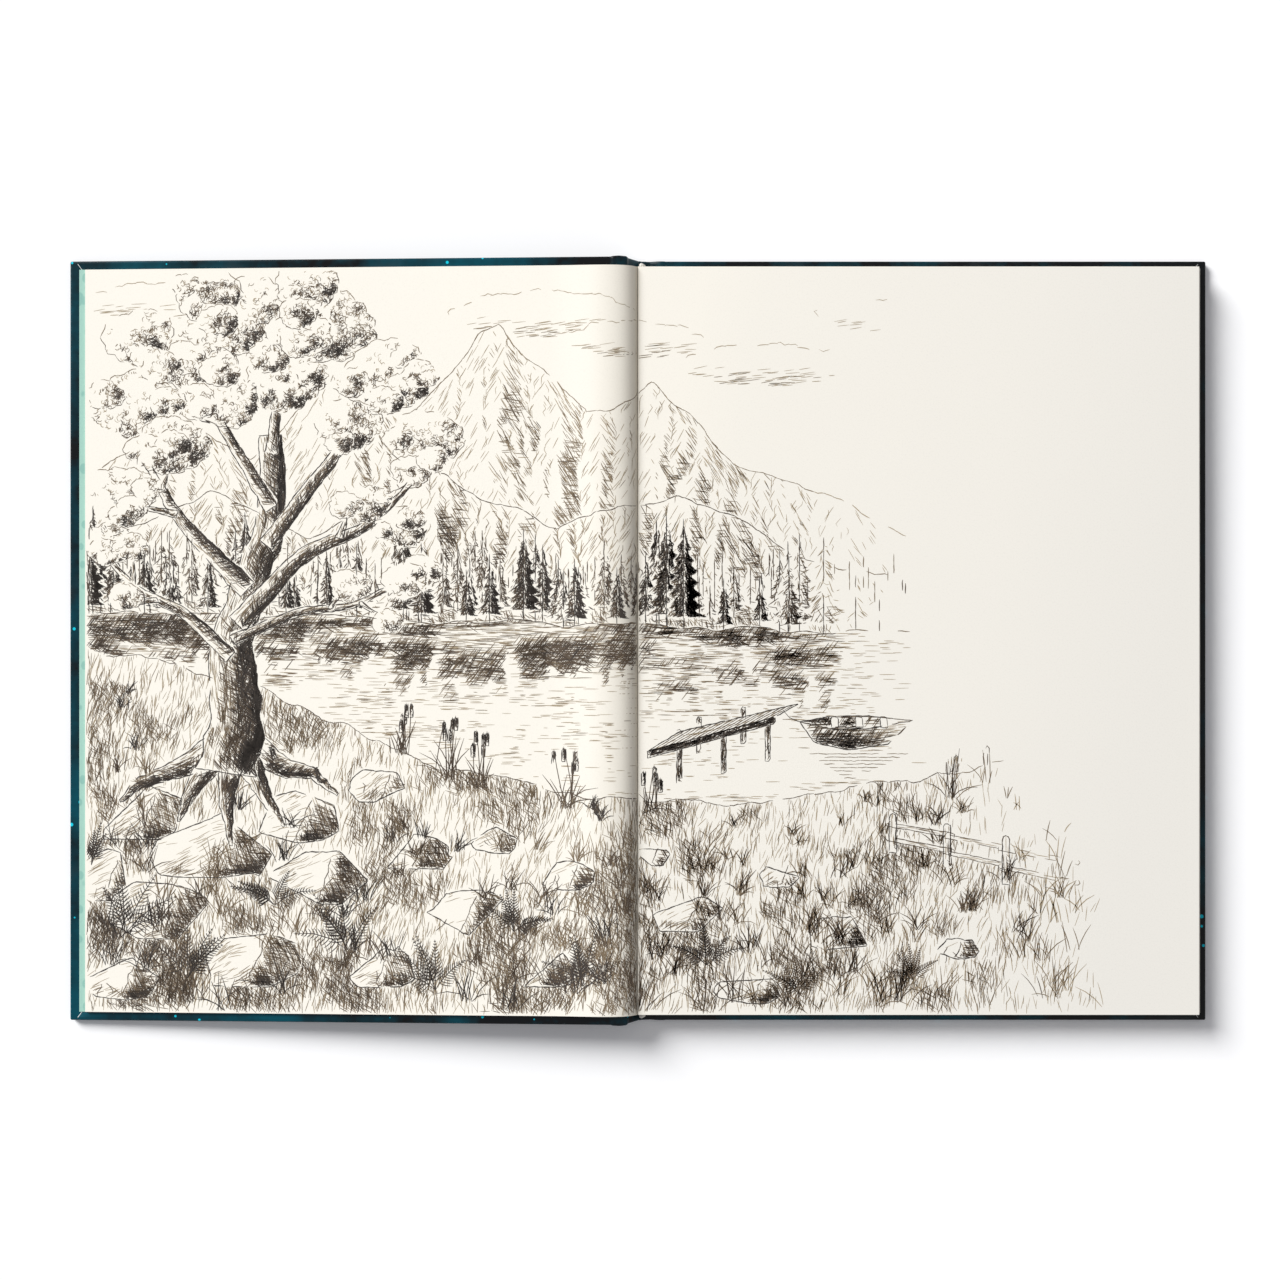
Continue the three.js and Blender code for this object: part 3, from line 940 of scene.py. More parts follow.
class Drawing:
    """A landscape as tone, stroke direction and outlines over the spread."""

    def __init__(self, seed=4):
        self.dice = np.random.default_rng(seed)
        self.tone = np.zeros_like(GRID_X)
        self.turn = np.full_like(GRID_X, radians(38))
        self.ruffle = np.full_like(GRID_X, 0.12)
        self.region = np.zeros(GRID_X.shape, int)
        self.regions = 0
        self.lines = []
        self.fade = np.ones_like(GRID_X)

    def lay(self, mask, tone, turn, ruffle, rows=slice(None), columns=slice(None)):
        """Paint a masked area as one region. Tone and turn are numbers or grids."""
        self.regions += 1
        grids = (self.tone, self.turn, self.ruffle, self.region)
        for grid, value in zip(grids, (tone, turn, ruffle, self.regions)):
            part = grid[rows, columns]
            part[mask] = value[mask] if isinstance(value, np.ndarray) else value

    def shape(self, outline, tone, turn, ruffle, ink, edge):
        """Paint an outlined shape. Tone and turn may be functions of the points' place."""
        outline = np.asarray(outline, float)
        rows, columns = window(outline)
        x, y = GRID_X[rows, columns], GRID_Y[rows, columns]
        if x.size == 0:
            return
        mask = covered(outline, x, y)
        shade = tone(x, y) if callable(tone) else tone
        way = turn(x, y) if callable(turn) else turn
        self.lay(mask, shade, way, ruffle, rows, columns)
        self.hide(outline)
        if edge:
            self.line(np.vstack([outline, outline[:1]]), ink, edge)

    def hide(self, outline):
        """Take out earlier lines that a nearer shape covers."""
        low, high = outline.min(0), outline.max(0)
        kept = []
        for line in self.lines:
            middle = line[0][:, 1:3].mean(1)
            gone = np.all((middle > low) & (middle < high), 1)
            if gone.any():
                gone[gone] = covered(outline, *middle[gone].T)
                line = [part[~gone] for part in line]
            if len(line[0]):
                kept.append(line)
        self.lines = kept

    def line(self, path, ink=DARK, width=0.34, wobble=0.18, broken=0.06):
        """A hand-drawn line along a path, in short overlapping strokes."""
        path = np.asarray(path, float)
        knots = walked(path)
        if knots[-1] < 0.5:
            return
        pieces = max(1, int(round(knots[-1] / 4.2)))
        ends = np.linspace(0, knots[-1], pieces + 1)
        spots = ends[:-1, None] + np.diff(ends)[:, None] * np.array([-0.06, 0.3, 0.7, 1.06])
        jitter = self.dice.normal(0, wobble * 0.5, (pieces, 4, 2))
        points = along_path(spots, knots, path) + jitter
        keep = self.dice.random(pieces) > broken
        widths = width * self.dice.uniform(0.7, 1.2, pieces)
        self.lines.append((points[keep], widths[keep], np.full(keep.sum(), ink)))

    def contour(self, heights, ink, width, wobble, broken, columns=WHOLE):
        """A long line along a profile, in stretches."""
        path = np.stack([ACROSS, heights], 1)[:columns]
        for start in range(0, columns - 1, STRETCH):
            self.line(path[start:start + STRETCH + 1], ink, width, wobble, broken)

    def blade(self, root, reach, lean, bend, ink, width):
        """A stem or blade of grass that leaves its root at an angle and bends over."""
        angles = lean + bend * np.linspace(0, 1, 4)[:-1]
        path = np.zeros((4, 2))
        path[1:, 0] = np.cumsum(np.cos(angles)) * reach / 3
        path[1:, 1] = np.cumsum(np.sin(angles)) * reach / 3
        self.lines.append(((path + root)[None], np.array([width]), np.array([ink])))
        return path + root

    def clouds(self):
        around = np.linspace(0, 2 * pi, 60)
        for cx, cy, rx, ry in (
            (-40, 132, 34, 9), (-2, 122, 26, 7), (52, 112, 30, 8), (-196, 138, 30, 8),
            (96, 132, 22, 6),
        ):
            swell = 1 + 0.16 * np.abs(np.sin(around * 4.5 + cx))
            outline = oval(cx, cy, rx, ry, around, swell)
            self.shape(
                outline, lambda x, y: 0.3 * smooth(cy - y, -0.2 * ry, ry), 0.1, 0.05, SOFT, 0
            )
            self.line(outline[2:30], SOFT, 0.28, 0.5, 0.25)

    def mountains(self):
        rock = cloudy(15, 21, 4, (1.0, 2.6))
        ridged = 1 - np.abs(2 * rock - 1)
        facing = np.gradient(ridged, CELL, axis=1) * 9
        far = (
            (-228, 66), (-192, 92), (-160, 74), (-118, 116), (-96, 92), (-58, 128), (-22, 90),
            (6, 104), (40, 70), (78, 60), (112, 40), (150, 31), (228, 26),
        )
        near = (
            (-228, 40), (-176, 62), (-136, 42), (-84, 70), (-34, 46), (16, 62), (62, 36),
            (118, 23), (228, 18),
        )
        drawn = int((ACROSS < 150).sum())
        for stops, rough, seed, light, dark, ink in (
            (far, 6, 31, 0.1, 0.5, MIDDLE), (near, 5, 47, 0.18, 0.72, DARK),
        ):
            ridge = profile(stops, rough, seed)
            below = ridge - GRID_Y
            slope = np.gradient(ridge, CELL)
            side = np.clip(facing + slope * -0.35, -1, 1)
            snow = smooth(below, 6, 30)
            tone = light + (dark - light) * smooth(side, -0.05, 0.5) * (0.55 + 0.45 * snow)
            tone *= 1 - 0.4 * smooth(below, 35, 75)
            turn = np.where(side > 0.1, radians(-56), radians(-122))
            self.lay((GRID_Y < ridge) & (GRID_Y > 0), tone, turn, 0.1)
            self.contour(ridge, ink, 0.34, 0.2, 0.05, drawn)

    def conifer(self, x, foot, high, depth):
        tiers = 8
        spread = high * 0.24
        left, right = [], []
        for tier in range(tiers):
            low = foot + high * (0.1 + 0.86 * tier / tiers)
            reach = spread * (1 - tier / tiers) ** 0.85 * self.dice.uniform(0.82, 1.12)
            left += [(x - reach, low), (x - reach * 0.45, low + high * 0.06)]
            right.append((x + reach, low + self.dice.uniform(-0.4, 0.4)))
            right.append((x + reach * 0.45, low + high * 0.06))

        def tone(gx, gy):
            return depth * (0.62 + 0.5 * smooth(gx - x, -spread * 0.5, spread * 0.3))

        def turn(gx, gy):
            return np.where(gx > x, radians(-48), radians(-132))

        self.shape([*left, (x, foot + high), *reversed(right)], tone, turn, 0.25, DARK, 0)
        ink = min(DEEP, 1 + int(depth * 2.2))
        self.line([(x, foot), (x, foot + high * 1.03)], ink, 0.36, 0.1, 0)

    def forest(self, shore):
        belts = ((9, 16, 0.5, 120), (4, 23, 0.72, 95), (0, 32, 0.92, 64))
        for belt, (lift, size, depth, count) in enumerate(belts):
            places = np.sort(self.dice.uniform(-228, 138 - 10 * belt, count))
            self.dice.shuffle(places)
            for x in places:
                crowd = 0.6 + 0.6 * sin(x / 19 + belt * 2) ** 2
                foot = np.interp(x, ACROSS, shore) + lift
                self.conifer(x, foot, size * crowd * self.dice.uniform(0.75, 1.2), depth)

    def lake(self, shore, bank):
        depth = shore - GRID_Y
        mirrored = ((shore + depth * 1.15 + HALF_HIGH) / CELL).astype(int)
        above = self.tone[np.clip(mirrored, 0, len(UPWARD) - 1), np.arange(len(ACROSS))]
        ripple = cloudy(3, 77, 2, (9, 1))
        tone = np.minimum(above, 0.66) * (1 - 0.5 * smooth(depth, 5, 45))
        tone *= 0.55 + 0.6 * smooth(ripple, 0.35, 0.6)
        tone = np.maximum(tone, 0.22 * smooth(ripple, 0.55, 0.75))
        self.lay((GRID_Y < shore) & (GRID_Y > bank - 4), tone, 0.0, 0.02)
        self.contour(shore, DARK, 0.36, 0.15, 0.05)

    def ground(self, bank):
        depth = bank - GRID_Y
        tone = 0.16 + 0.34 * smooth(cloudy(16, 91, 4), 0.36, 0.7)
        tone += 0.12 * smooth(depth, 30, 110) * smooth(-GRID_X, -60, 160)
        turn = radians(84) + 0.7 * (cloudy(24, 55, 2) - 0.5)
        self.lay(GRID_Y < bank, tone, turn, 0.22)
        self.contour(bank, DARK, 0.34, 0.3, 0.1)

    def boulder(self, cx, cy, wide, high):
        around = np.sort(self.dice.uniform(0, 2 * pi, 11))
        rim = oval(cx, cy, wide, high, around, self.dice.uniform(0.84, 1.08, 11))
        rim[:, 1] = np.maximum(rim[:, 1], cy - high * 0.72)
        split = cx + wide * self.dice.uniform(-0.05, 0.3)
        crag = cloudy(7, int(self.dice.integers(1000)), 2)[window(rim)]

        def tone(x, y):
            side = smooth(x - split - (y - cy) * 0.35, -0.12 * wide, 0.16 * wide)
            under = smooth(cy - y, 0, high * 0.75)
            return np.clip(0.1 + 0.52 * side + 0.3 * under + 0.35 * (crag - 0.5), 0.05, 0.9)

        def turn(x, y):
            shaded = x - split - (y - cy) * 0.35 > 0
            return np.where(shaded, radians(-62), radians(24)) + (crag - 0.5) * 0.8

        self.shape(rim, tone, turn, 0.08, DEEP, 0.44)
        top = np.array([split + high * 0.3, cy + high * 0.72])
        foot = np.array([split - high * 0.2, cy - high * 0.55])
        steps = np.linspace(0, 1, 7)[:, None]
        self.line(top + (foot - top) * steps + self.dice.normal(0, wide * 0.03, (7, 2)))
        for _ in range(int(self.dice.integers(2, 5))):
            at = np.array([cx, cy]) + self.dice.uniform(-0.55, 0.55, 2) * (wide, high)
            way = self.dice.uniform(-2.4, -0.6)
            steps = [part(way + self.dice.normal(0, 0.5, 5)) for part in (np.cos, np.sin)]
            self.line(at + np.cumsum(np.stack(steps, 1) * wide * 0.1, 0), DARK, 0.3, 0.1, 0)

    def limb(self, path, thick_start, thick_end, darker=0.0):
        """A trunk or branch with bark that runs along it."""
        t = np.linspace(0, 1, 22)
        line = eased(path, len(t), 2)
        line[1:-1] += self.dice.normal(0, thick_start * 0.02, (20, 2))
        along, across = headings(line)
        half = (thick_start + (thick_end - thick_start) * t**0.8)[:, None] / 2
        half = half * (1 + self.dice.normal(0, 0.05, half.shape))
        outline = np.vstack([line + across * half, (line - across * half)[::-1]])

        def nearest(x, y):
            away = (x[..., None] - line[:, 0]) ** 2 + (y[..., None] - line[:, 1]) ** 2
            return np.argmin(away, -1)

        def tone(x, y):
            k = nearest(x, y)
            side = (x - line[k, 0]) * across[k, 0] + (y - line[k, 1]) * across[k, 1]
            side /= half[k, 0]
            lit = side * np.sign(across[k, 0] * -0.8 + across[k, 1] * 0.6)
            streak = 0.12 * np.sin(side * 9 + k * 0.7)
            return np.clip(0.56 - 0.4 * lit + streak + darker, 0.14, 0.95)

        def turn(x, y):
            k = nearest(x, y)
            return np.arctan2(along[k, 1], along[k, 0])

        self.shape(outline, tone, turn, 0.1, DEEP, 0.42)
        return line

    def clump(self, cx, cy, radius, seed):
        """A mass of leaves with a scalloped edge, lit from the upper left."""
        around = np.linspace(0, 2 * pi, 72)[:-1]
        scallop = 1 + 0.11 * np.abs(np.sin(around * 6.5 + seed))
        scallop += 0.07 * np.sin(around * 3 + seed * 1.7)
        outline = oval(cx, cy, radius, radius * 0.78, around, scallop)
        spots = cloudy(3.2, 400 + seed % 7, 2)[window(outline)]

        def tone(x, y):
            lit = ((x - cx) * 0.62 - (y - cy) * 0.85) / radius
            return np.clip(0.36 + 0.46 * lit + 1.3 * (spots - 0.5), 0.0, 0.95)

        def turn(x, y):
            return np.arctan2(y - cy, x - cx) + pi / 2 + 5 * (spots - 0.5)

        self.shape(outline, tone, turn, 0.9, DARK, 0)
        for start in range(0, 71, 5):
            if self.dice.random() < 0.75:
                ink = DARK if np.sin(around[start]) < 0.2 else MIDDLE
                self.line(outline[start:start + 6], ink, 0.3, 0.35, 0.15)

    def old_tree(self):
        for path, thick in (
            ([(-166, -38), (-188, -52), (-206, -58), (-214, -66)], 13),
            ([(-164, -40), (-146, -52), (-134, -54), (-124, -63)], 13),
            ([(-170, -42), (-184, -60), (-190, -74)], 14),
            ([(-164, -44), (-156, -60), (-146, -76)], 14),
            ([(-168, -44), (-170, -64), (-168, -84)], 13),
        ):
            self.limb(path, thick, 1.2, 0.06)
        stem = [(-170, -54), (-165, -30), (-169, -4), (-160, 24), (-150, 52), (-152, 84)]
        trunk = self.limb(stem, 25, 9, 0.06)
        tips = []
        for knot, path, thick in (
            (10, [(-138, 36), (-112, 46), (-92, 66)], 9),
            (12, [(-190, 50), (-206, 78)], 8.5),
            (15, [(-128, 72), (-106, 98), (-96, 116)], 7),
            (17, [(-172, 88), (-186, 116)], 6),
            (20, [(-148, 104), (-140, 130)], 5),
            (8, [(-188, 12), (-206, 20), (-222, 36)], 6),
            (9, [(-140, 12), (-118, 14), (-98, 24)], 4.5),
        ):
            branch = self.limb([trunk[knot], *path], thick, 1.6)
            tips.append(branch[-1])
            for share, side in ((0.55, 1), (0.75, -1)):
                at = branch[int(share * 21)]
                reach = 13 * self.dice.uniform(0.8, 1.3)
                way = atan2(*(branch[-1] - branch[10])[::-1]) + side * self.dice.uniform(0.5, 0.9)
                tip = at + reach * np.array([cos(way), sin(way)])
                middle = (at + tip) / 2 + self.dice.normal(0, 1, 2)
                self.limb([at, middle, tip], thick * 0.4, 0.8)
                tips.append(tip)
        crown = (
            (-208, 96, 17), (-184, 118, 19), (-158, 132, 19), (-128, 128, 18), (-104, 108, 17),
            (-88, 82, 14), (-214, 60, 14), (-218, 40, 10), (-192, 80, 14), (-120, 88, 13),
            (-146, 106, 15), (-170, 98, 13), (-98, 46, 10), (-206, 124, 14), (-90, 28, 8),
            (-112, 56, 9), (-136, 146, 12), (-178, 142, 13),
        )
        for cx, cy, radius in crown:
            self.clump(cx, cy, radius, int(cx * 3 + cy) % 97)
        for seed, (cx, cy) in enumerate(tips):
            x, y = cx + self.dice.uniform(-3, 3), cy + self.dice.uniform(-1, 4)
            self.clump(x, y, self.dice.uniform(5.5, 9), seed)
        for seed in range(26):
            cx, cy, radius = crown[seed % len(crown)]
            way = self.dice.uniform(0, 2 * pi)
            x, y = cx + radius * 0.8 * cos(way), cy + radius * 0.62 * sin(way)
            self.clump(x, y, radius * 0.42, seed + 31)

    def jetty(self):
        """A plank landing stage on posts, with a rowing boat beside it."""
        for x, low, high in (
            (16, -58, -36), (34, -54, -33), (52, -49, -29), (24, -46, -31), (42, -42, -27),
        ):
            post = [(x, low), (x + 2, low), (x + 2, high), (x, high)]
            self.shape(post, 0.7, UPRIGHT, 0.05, DEEP, 0.36)
        deck = np.array([(4, -45), (56, -31), (66, -25.5), (17, -37)])
        self.shape(deck, 0.14, 0.25, 0.05, DEEP, 0.42)
        for share in np.linspace(0.05, 0.95, 17):
            near = deck[0] + (deck[1] - deck[0]) * share
            far = deck[3] + (deck[2] - deck[3]) * share
            self.line([near, far], DARK, 0.3, 0.1, 0)
        self.shape([(4, -45), (56, -31), (56, -33.6), (4, -47.8)], 0.85, 0.26, 0.04, DEEP, 0.4)
        bow, stern = (66, -33), (112, -32.5)
        hull = [bow, (72, -41.5), (86, -44.5), (102, -42), stern, (94, -35.8), (80, -36)]
        self.shape(hull, lambda x, y: 0.5 + 0.4 * smooth(-y, 36, 44), 0.06, 0.04, DEEP, 0.46)
        inside = [bow, (80, -36), (94, -35.8), stern, (94, -30.6), (79, -30.7)]
        self.shape(inside, 0.75, 0.05, 0.04, DEEP, 0.42)
        for x in (79, 89, 99):
            seat = [(x, -35.4), (x + 3, -35.5), (x + 2.4, -31), (x - 0.4, -31)]
            self.shape(seat, 0.12, 1.4, 0.05, DEEP, 0.32)
        self.line([(73, -39.5), (88, -41.6), (104, -38.8)], DEEP, 0.32, 0.1, 0)
        self.line([bow, (62, -31.5), (59, -28)], DEEP, 0.32, 0.1, 0)
        for ripple in range(8):
            y = -46 - ripple * 1.4
            self.line([(70 + ripple * 2, y), (110 - ripple * 3, y)], MIDDLE, 0.28, 0.2, 0.15)

    def fence(self):
        posts = [(104, -86, 15), (126, -92, 17), (150, -99, 19), (177, -107, 22)]
        for (x0, y0, h0), (x1, y1, h1) in zip(posts, posts[1:]):
            for share in (0.42, 0.8):
                a, b = (x0 - 3, y0 + h0 * share), (x1 + 3, y1 + h1 * share)
                rail = [a, b, (b[0], b[1] - 1.9), (a[0], a[1] - 1.5)]
                self.shape(rail, 0.3, atan2(b[1] - a[1], b[0] - a[0]), 0.03, DARK, 0.34)
        for x, y, high in posts:
            top = [(x + 1.4, y + high), (x - 0.4, y + high + 1), (x - 1.5, y + high - 0.3)]
            self.shape(
                [(x - 1.6, y), (x + 1.6, y - 0.5), *top],
                lambda gx, gy: 0.25 + 0.5 * smooth(gx - x, -0.6, 1), UPRIGHT, 0.04, DEEP, 0.38,
            )

    def tuft(self, x, y, size, ink):
        for _ in range(int(self.dice.integers(9, 17))):
            lean = UPRIGHT + self.dice.normal(0, 0.38)
            bend = (UPRIGHT - lean) * -self.dice.uniform(0.6, 1.6)
            root = (x + self.dice.normal(0, size * 0.16), y + self.dice.normal(0, 0.4))
            reach = size * self.dice.uniform(0.5, 1.15)
            self.blade(root, reach, lean, bend, ink, self.dice.uniform(0.26, 0.4))

    def fern(self, x, y, size, ink):
        for lean in self.dice.uniform(0.5, 2.6, 6):
            reach = size * self.dice.uniform(0.8, 1.1)
            rib = self.blade((x, y), reach, lean, (lean - pi / 2) * 0.9, ink, 0.36)
            way = atan2(rib[3, 1] - rib[1, 1], rib[3, 0] - rib[1, 0])
            for share in np.linspace(0.18, 0.96, 13):
                at = along_path(share * 3, range(4), rib)
                reach = size * 0.27 * (1.05 - share)
                for side in (-1, 1):
                    self.blade(at, reach, way + side * 1.05, -side * 0.5, ink, 0.34)

    def reeds(self, x, y, size):
        for _ in range(5):
            root = (x + self.dice.normal(0, 2.2), y + self.dice.normal(0, 0.6))
            lean = UPRIGHT + self.dice.normal(0, 0.09)
            reach = size * self.dice.uniform(0.75, 1.1)
            stem = self.blade(root, reach, lean, self.dice.normal(0, 0.08), DARK, 0.32)
            foot, top = stem[-1] - (0, 6), stem[-1] - (0, 0.6)
            head = [foot - (0.75, 0), foot + (0.75, 0), top + (0.7, 0), top - (0.7, 0)]
            self.shape(head, 0.9, radians(88), 0.05, DEEP, 0.4)
        self.tuft(x, y, size * 0.6, DARK)

    def plants(self, bank):
        for _ in range(210):
            x = self.dice.uniform(-226, 190)
            top = float(np.interp(x, ACROSS, bank))
            y = top - 3 - (top + 148) * self.dice.random() ** 0.8
            near = (top - y) / (top + 150)
            self.tuft(x, y, 5 + 9 * near, int(self.dice.integers(1, 3 + (x < 0))))
        for x, y, size in (
            (-212, -120, 26), (-186, -138, 24), (-120, -126, 25), (-84, -142, 22), (-52, -118, 18),
            (-24, -140, 22), (28, -132, 19), (66, -144, 17), (-150, -108, 19), (-226, -92, 18),
            (112, -138, 14),
        ):
            self.fern(x, y, size, DEEP if x < 40 else DARK)
        for x, y, size in (
            (-78, -56, 26), (-66, -60, 22), (-30, -68, 24), (4, -70, 20), (142, -58, 17),
            (128, -64, 19), (-98, -46, 20),
        ):
            self.reeds(x, y, size)

    def compose(self):
        reach = 112 + 84 * smooth(-GRID_Y, -10, 110) + 26 * (cloudy(30, 9, 3) - 0.5)
        self.fade = np.clip((reach - GRID_X) / 62, 0, 1)
        shore = profile(((-228, 12), (-120, 9), (0, 6), (90, 4), (228, 2)), 3, 63)
        bank_stops = (
            (-228, -4), (-196, -8), (-150, -22), (-112, -40), (-70, -54), (-20, -64), (40, -66),
            (100, -58), (150, -50), (228, -44),
        )
        bank = profile(bank_stops, 5, 71)
        self.clouds()
        self.mountains()
        self.lay((GRID_Y < shore + 9) & (GRID_Y > 0), 0.5, radians(-70), 0.3)
        self.forest(shore)
        self.lake(shore, bank)
        self.ground(bank)
        self.jetty()
        for boulder in (
            (-206, -72, 20, 13), (-140, -74, 17, 12), (-108, -60, 12, 8), (-176, -86, 26, 15),
            (-220, -98, 17, 12),
        ):
            self.boulder(*boulder)
        self.old_tree()
        self.fence()
        for boulder in (
            (-132, -98, 20, 13), (-196, -112, 24, 14), (-92, -88, 15, 9), (-60, -82, 9, 6),
            (-70, -112, 17, 11), (-30, -96, 11, 7), (6, -88, 8, 5), (20, -112, 15, 9),
            (58, -96, 9, 6), (82, -120, 13, 8), (-160, -132, 22, 13), (-106, -134, 16, 10),
            (130, -126, 9, 5), (-40, -134, 14, 9), (46, -142, 14, 8), (-214, -140, 16, 10),
        ):
            self.boulder(*boulder)
        self.plants(bank)

    def hatching(self, settings):
        """Strokes that follow each region's direction and stay in it, closer where it is dark."""
        tone = np.clip(self.tone, 0, 1) * self.fade
        pitch = HATCH_PITCH / sqrt(settings.density)
        starts = [np.arange(-half, half - 1, pitch) for half in (HALF_WIDE, HALF_HIGH)]
        x, y = np.meshgrid(*starts)
        made = []
        for offset, least, strength, size in (
            (0.0, 0.02, 1.0, 1.0), (0.9, 0.36, 1.1, 0.9), (-0.55, 0.6, 1.15, 0.9),
            (0.1, 0.74, 1.1, 1.0),
        ):
            spots = np.stack([x.ravel(), y.ravel()], 1)
            spots += self.dice.uniform(-0.45, 0.45, (x.size, 2)) * pitch
            here = tone[cells(spots)]
            chance = np.clip((here - least) / (1 - least) * strength, 0, 1) * HATCH_SHARE
            spots = spots[self.dice.random(len(spots)) < chance]
            home_cells = cells(spots)
            here, home, loose = tone[home_cells], self.region[home_cells], self.ruffle[home_cells]
            drift = self.dice.normal(0, 1, len(spots)) * loose + offset
            leafy = loose > LEAFY
            stride = np.where(leafy, 0.42, self.dice.uniform(0.55, 1.1, len(spots))) * size
            walk = [spots]
            count = np.zeros(len(spots), int)
            alive = np.ones(len(spots), bool)
            for _ in range(STEPS):
                way = self.turn[cells(walk[-1])] + drift
                at = walk[-1] + np.stack([np.cos(way), np.sin(way)], 1) * stride[:, None]
                reached = cells(at)
                alive &= (self.region[reached] == home) & (tone[reached] > here * 0.45)
                count += alive
                walk.append(at)
                drift = drift + np.where(leafy, 0.45, 0.0)
            kept = count >= 2
            walk, count, here = np.stack(walk, 1)[kept], count[kept], here[kept]
            spot = count[:, None] * np.array([0, 1 / 3, 2 / 3, 1])
            low = np.minimum(spot.astype(int), STEPS - 1)
            share = (spot - low)[..., None]
            index = np.arange(len(walk))[:, None]
            points = walk[index, low] * (1 - share) + walk[index, low + 1] * share
            width = self.dice.uniform(0.75, 1.25, len(points)) * (0.8 + 0.5 * here)
            grade = here * 3.6 - 0.15 + self.dice.normal(0, 0.35, len(points))
            made.append((points, width * settings.width / MM, np.clip(grade, 0, 3.4).astype(int)))
        return made

    def strokes(self, settings):
        """Every stroke as points, width and pencil, thinned out where the drawing fades."""
        made = self.lines + self.hatching(settings)
        points, widths, inks = [np.concatenate(part) for part in zip(*made)]
        fade = self.fade[cells(points[:, 1])]
        keep = self.dice.random(len(points)) < fade * 1.4
        keep &= (np.abs(points) < (HALF_WIDE, HALF_HIGH)).all((1, 2))
        page = np.sign(points[:, :1, 0])
        keep &= ((points[..., 0] * page) > 0.4).sum(1) > 2
        points[..., 0] = page * np.maximum(points[..., 0] * page, GUTTER_GAP)
        paler = (fade < 0.55).astype(int)
        return points[keep], widths[keep], np.maximum(inks - paler, 0)[keep]


def pencil(ink):
    """The recipe of one pencil."""

    def recipe(name, c):
        return Finish(name, getattr(bpy.context.scene.drawing_settings, ink), roughness=0.7)

    recipe.__name__ = f"{ink}_pencil"
    return recipe


class BOOK_OT_drawing(Step, bpy.types.Operator):
    """Pencil landscape over the spread, drawn as thin strokes on the paper"""

    bl_idname = "book.drawing"
    bl_label = "Drawing"

    def execute(self, context):
        settings = context.scene.drawing_settings
        landscape = Drawing()
        landscape.compose()
        points, widths, inks = landscape.strokes(settings)
        for grade, ink in enumerate(INKS):
            for side in ("left", "right"):
                chosen = (inks == grade) & ((points[:, 0, 0] < 0) == (side == "left"))
                if chosen.any():
                    lift = settings.lift * (1 + 0.22 * grade)
                    self.strokes(side, ink, points[chosen], widths[chosen], lift)
        return {"FINISHED"}

    def strokes(self, side, ink, points, widths, lift):
        """Strokes on one page, each tapered towards both ends."""
        taper = np.array([0.3, 0.52, 0.5, 0.16])[None, :, None] * widths[:, None, None]
        edge = headings(points)[1] * taper
        across, up = np.stack([points + edge, points - edge], 2).reshape(-1, 2).T * MM
        lifts = np.full(len(up), lift)
        corner = np.arange(len(points))[:, None] * 8 + np.array([0, 2, 4])
        faces = np.stack([corner, corner + 1, corner + 3, corner + 2], -1).reshape(-1, 4)
        name = f"{side}_page_{ink}_pencil"
        if side == "left":
            placed = on_left_page(-across, up, lifts)
            strokes = new_mesh(name, placed, faces, [pencil(ink)], tidy=False)
            flex_left(settle(strokes))
        else:
            placed = on_right(np.stack([across, up, PAGE_TOP + lifts], 1))
            strokes = new_mesh(name, placed, faces, [pencil(ink)], tidy=False)
            settle(strokes, "right_half")


# The stage


class StageSettings(bpy.types.PropertyGroup):
    eye_height: length("Eye height", "Camera over the surface", 880.0)
    eye_right: length("Eye right", "Camera to the right of the middle", 0.85)
    eye_up: length("Eye up", "Camera towards the head from the middle", 0.3)
    lens: FloatProperty(
        name="Lens", description="Focal length on a 36 mm sensor, in millimetres",
        default=59.97, min=10,
    )
    sun: FloatProperty(
        name="Sun", description="Strength of the soft sun from the upper left", default=4.2, min=0
    )
    sky: FloatProperty(
        name="Sky", description="Strength of the even light from all round", default=0.31, min=0
    )
    softness: FloatProperty(
        name="Softness", description="Angle of the sun, which sets how soft shadows are",
        default=radians(28), subtype="ANGLE",
    )


def white_surface(name, c):
    f = Finish(name, (1, 1, 1), roughness=1.0)
    f.paint(f.mix(f.noise(6), (0.985, 0.985, 0.985), (1, 1, 1)))
    surface = Wire(f, f.surface.outputs[0])
    glow = f.node("ShaderNodeEmission", {}, {"Color": (1, 1, 1), "Strength": 0.04})
    lifted = f.node("ShaderNodeAddShader", {}, {0: surface, 1: glow})
    f.show("Material Output", f.mix_shaders(f.ray("Is Camera Ray"), surface, lifted))
    return f


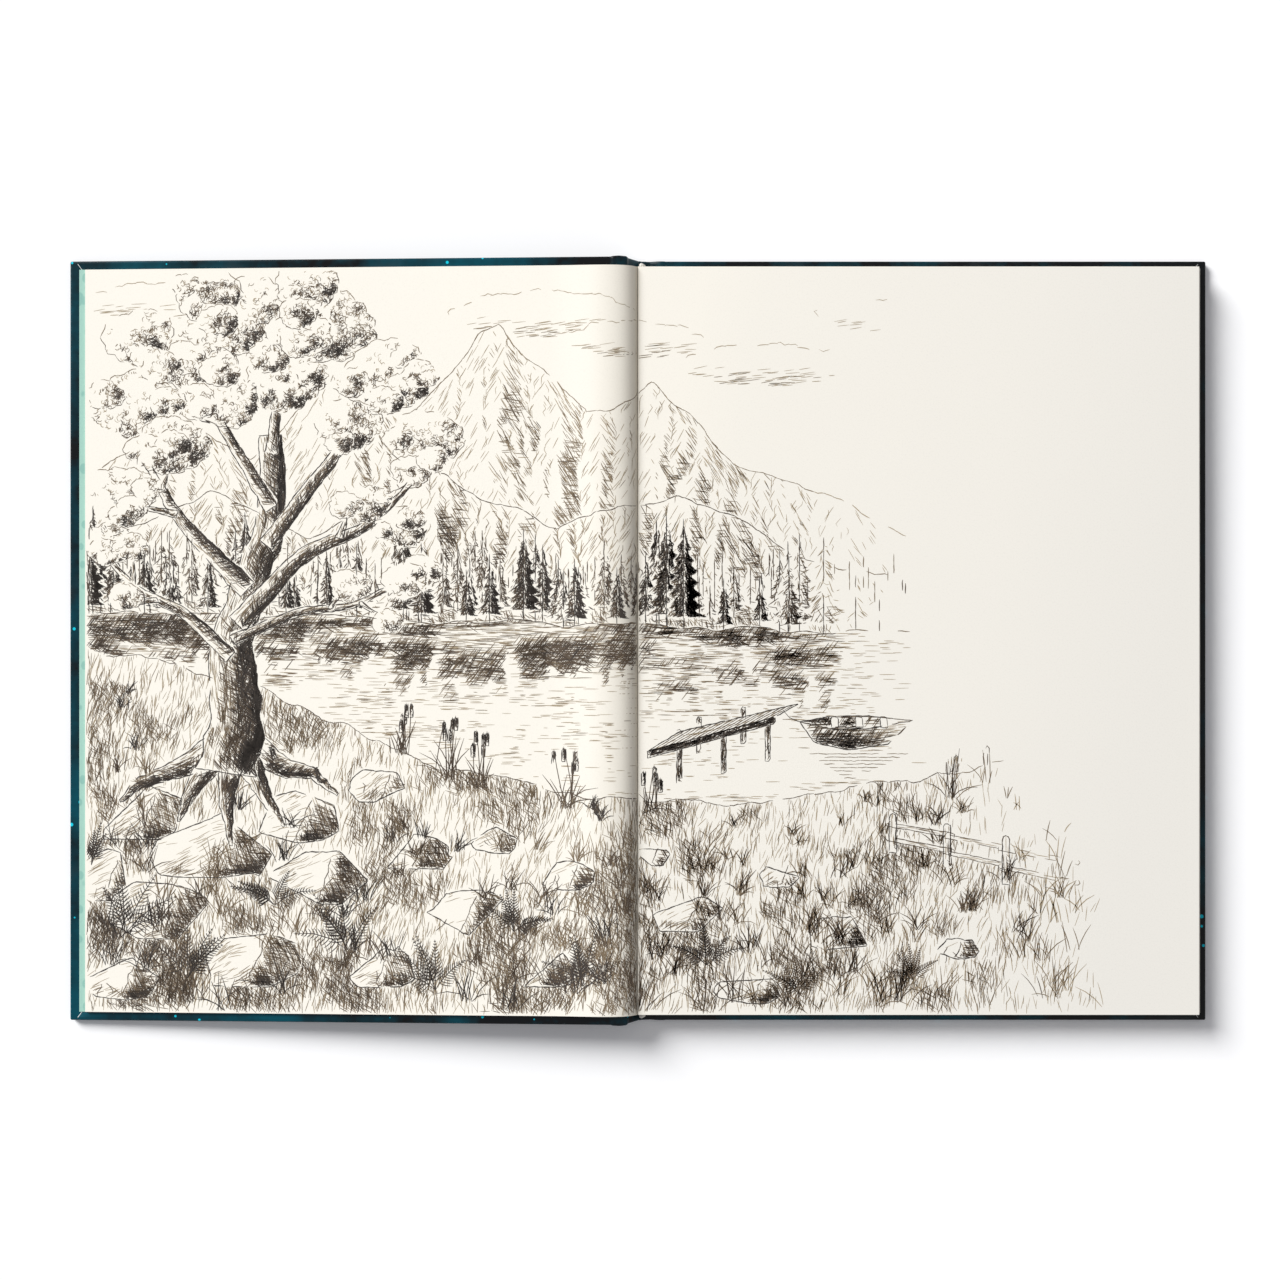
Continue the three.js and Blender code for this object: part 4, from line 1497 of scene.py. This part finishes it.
class BOOK_OT_stage(Step, bpy.types.Operator):
    """White surface, soft sun from the upper left, even sky and the camera straight above"""

    bl_idname = "book.stage"
    bl_label = "Stage"

    def execute(self, context):
        s = context.scene.stage_settings
        reach = 4.0
        corners = [(-reach, -reach, 0), (reach, -reach, 0), (reach, reach, 0), (-reach, reach, 0)]
        floor = new_mesh("surface", corners, [range(4)], [white_surface], tidy=False)

        lamp = bpy.data.lights.new("upper_left_sun", "SUN")
        lamp.energy = s.sun
        lamp.angle = s.softness
        sun = bpy.data.objects.new("upper_left_sun", lamp)
        sun.rotation_euler = Vector((1.18, -1.08, -1)).to_track_quat("-Z", "Y").to_euler()
        context.scene.collection.objects.link(sun)

        world = bpy.data.worlds.new("even_sky")
        world.use_nodes = True
        context.scene.world = world
        w = Shader(world.node_tree)
        sky = w.tree.nodes["Background"]
        w.feed(sky.inputs["Color"], (0.94, 0.945, 1))
        w.feed(sky.inputs["Strength"], s.sky)
        white = w.node("ShaderNodeBackground", {}, {"Color": (1, 1, 1), "Strength": 1})
        seen = w.ray("Is Camera Ray")
        for kind in ("Is Glossy Ray", "Is Transmission Ray"):
            seen = w.math("MAXIMUM", seen, w.ray(kind))
        w.show("World Output", w.mix_shaders(seen, Wire(w, sky.outputs[0]), white))

        view = bpy.data.cameras.new("straight_above")
        view.lens = s.lens
        view.sensor_width = 36
        view.sensor_fit = "HORIZONTAL"
        view.clip_start = 0.01
        view.clip_end = 20
        camera = bpy.data.objects.new("straight_above", view)
        camera.location = (s.eye_right, s.eye_up, s.eye_height)
        context.scene.collection.objects.link(camera)
        context.scene.camera = camera
        context.scene.view_settings.view_transform = "Standard"
        return {"FINISHED"}


class BOOK_PT_pieces(bpy.types.Panel):
    """Sizes, colours and pieces of the book"""

    bl_label = "Open Picture Book"
    bl_idname = "BOOK_PT_pieces"
    bl_space_type = "VIEW_3D"
    bl_region_type = "UI"
    bl_category = "Book"

    def draw(self, context):
        for name in GROUPS:
            group = getattr(context.scene, name)
            box = self.layout.box()
            box.label(text=name.replace("_", " ").capitalize())
            for setting in group.__annotations__:
                box.prop(group, setting)
        column = self.layout.column(align=True)
        for operator in OPERATORS:
            column.operator(operator.bl_idname)


GROUPS = {
    "case_sizes": CaseSizes, "leaf_sizes": LeafSizes, "book_colours": BookColours,
    "drawing_settings": DrawingSettings, "stage_settings": StageSettings,
}
OPERATORS = (
    BOOK_OT_stage, BOOK_OT_covers, BOOK_OT_spine, BOOK_OT_boards, BOOK_OT_right_leaves,
    BOOK_OT_left_leaves, BOOK_OT_bands, BOOK_OT_drawing,
)
CLASSES = (*GROUPS.values(), *OPERATORS, BOOK_PT_pieces)


def register():
    for cls in CLASSES:
        bpy.utils.register_class(cls)
    for name, group in GROUPS.items():
        setattr(bpy.types.Scene, name, PointerProperty(type=group))


def unregister():
    for name in GROUPS:
        delattr(bpy.types.Scene, name)
    for cls in reversed(CLASSES):
        bpy.utils.unregister_class(cls)


def main():
    register()
    bpy.ops.book.stage()
    bpy.ops.book.covers()
    bpy.ops.book.spine()
    bpy.ops.book.boards()
    bpy.ops.book.right_leaves()
    bpy.ops.book.left_leaves()
    bpy.ops.book.bands()
    bpy.ops.book.drawing()


if __name__ == "__main__":
    main()
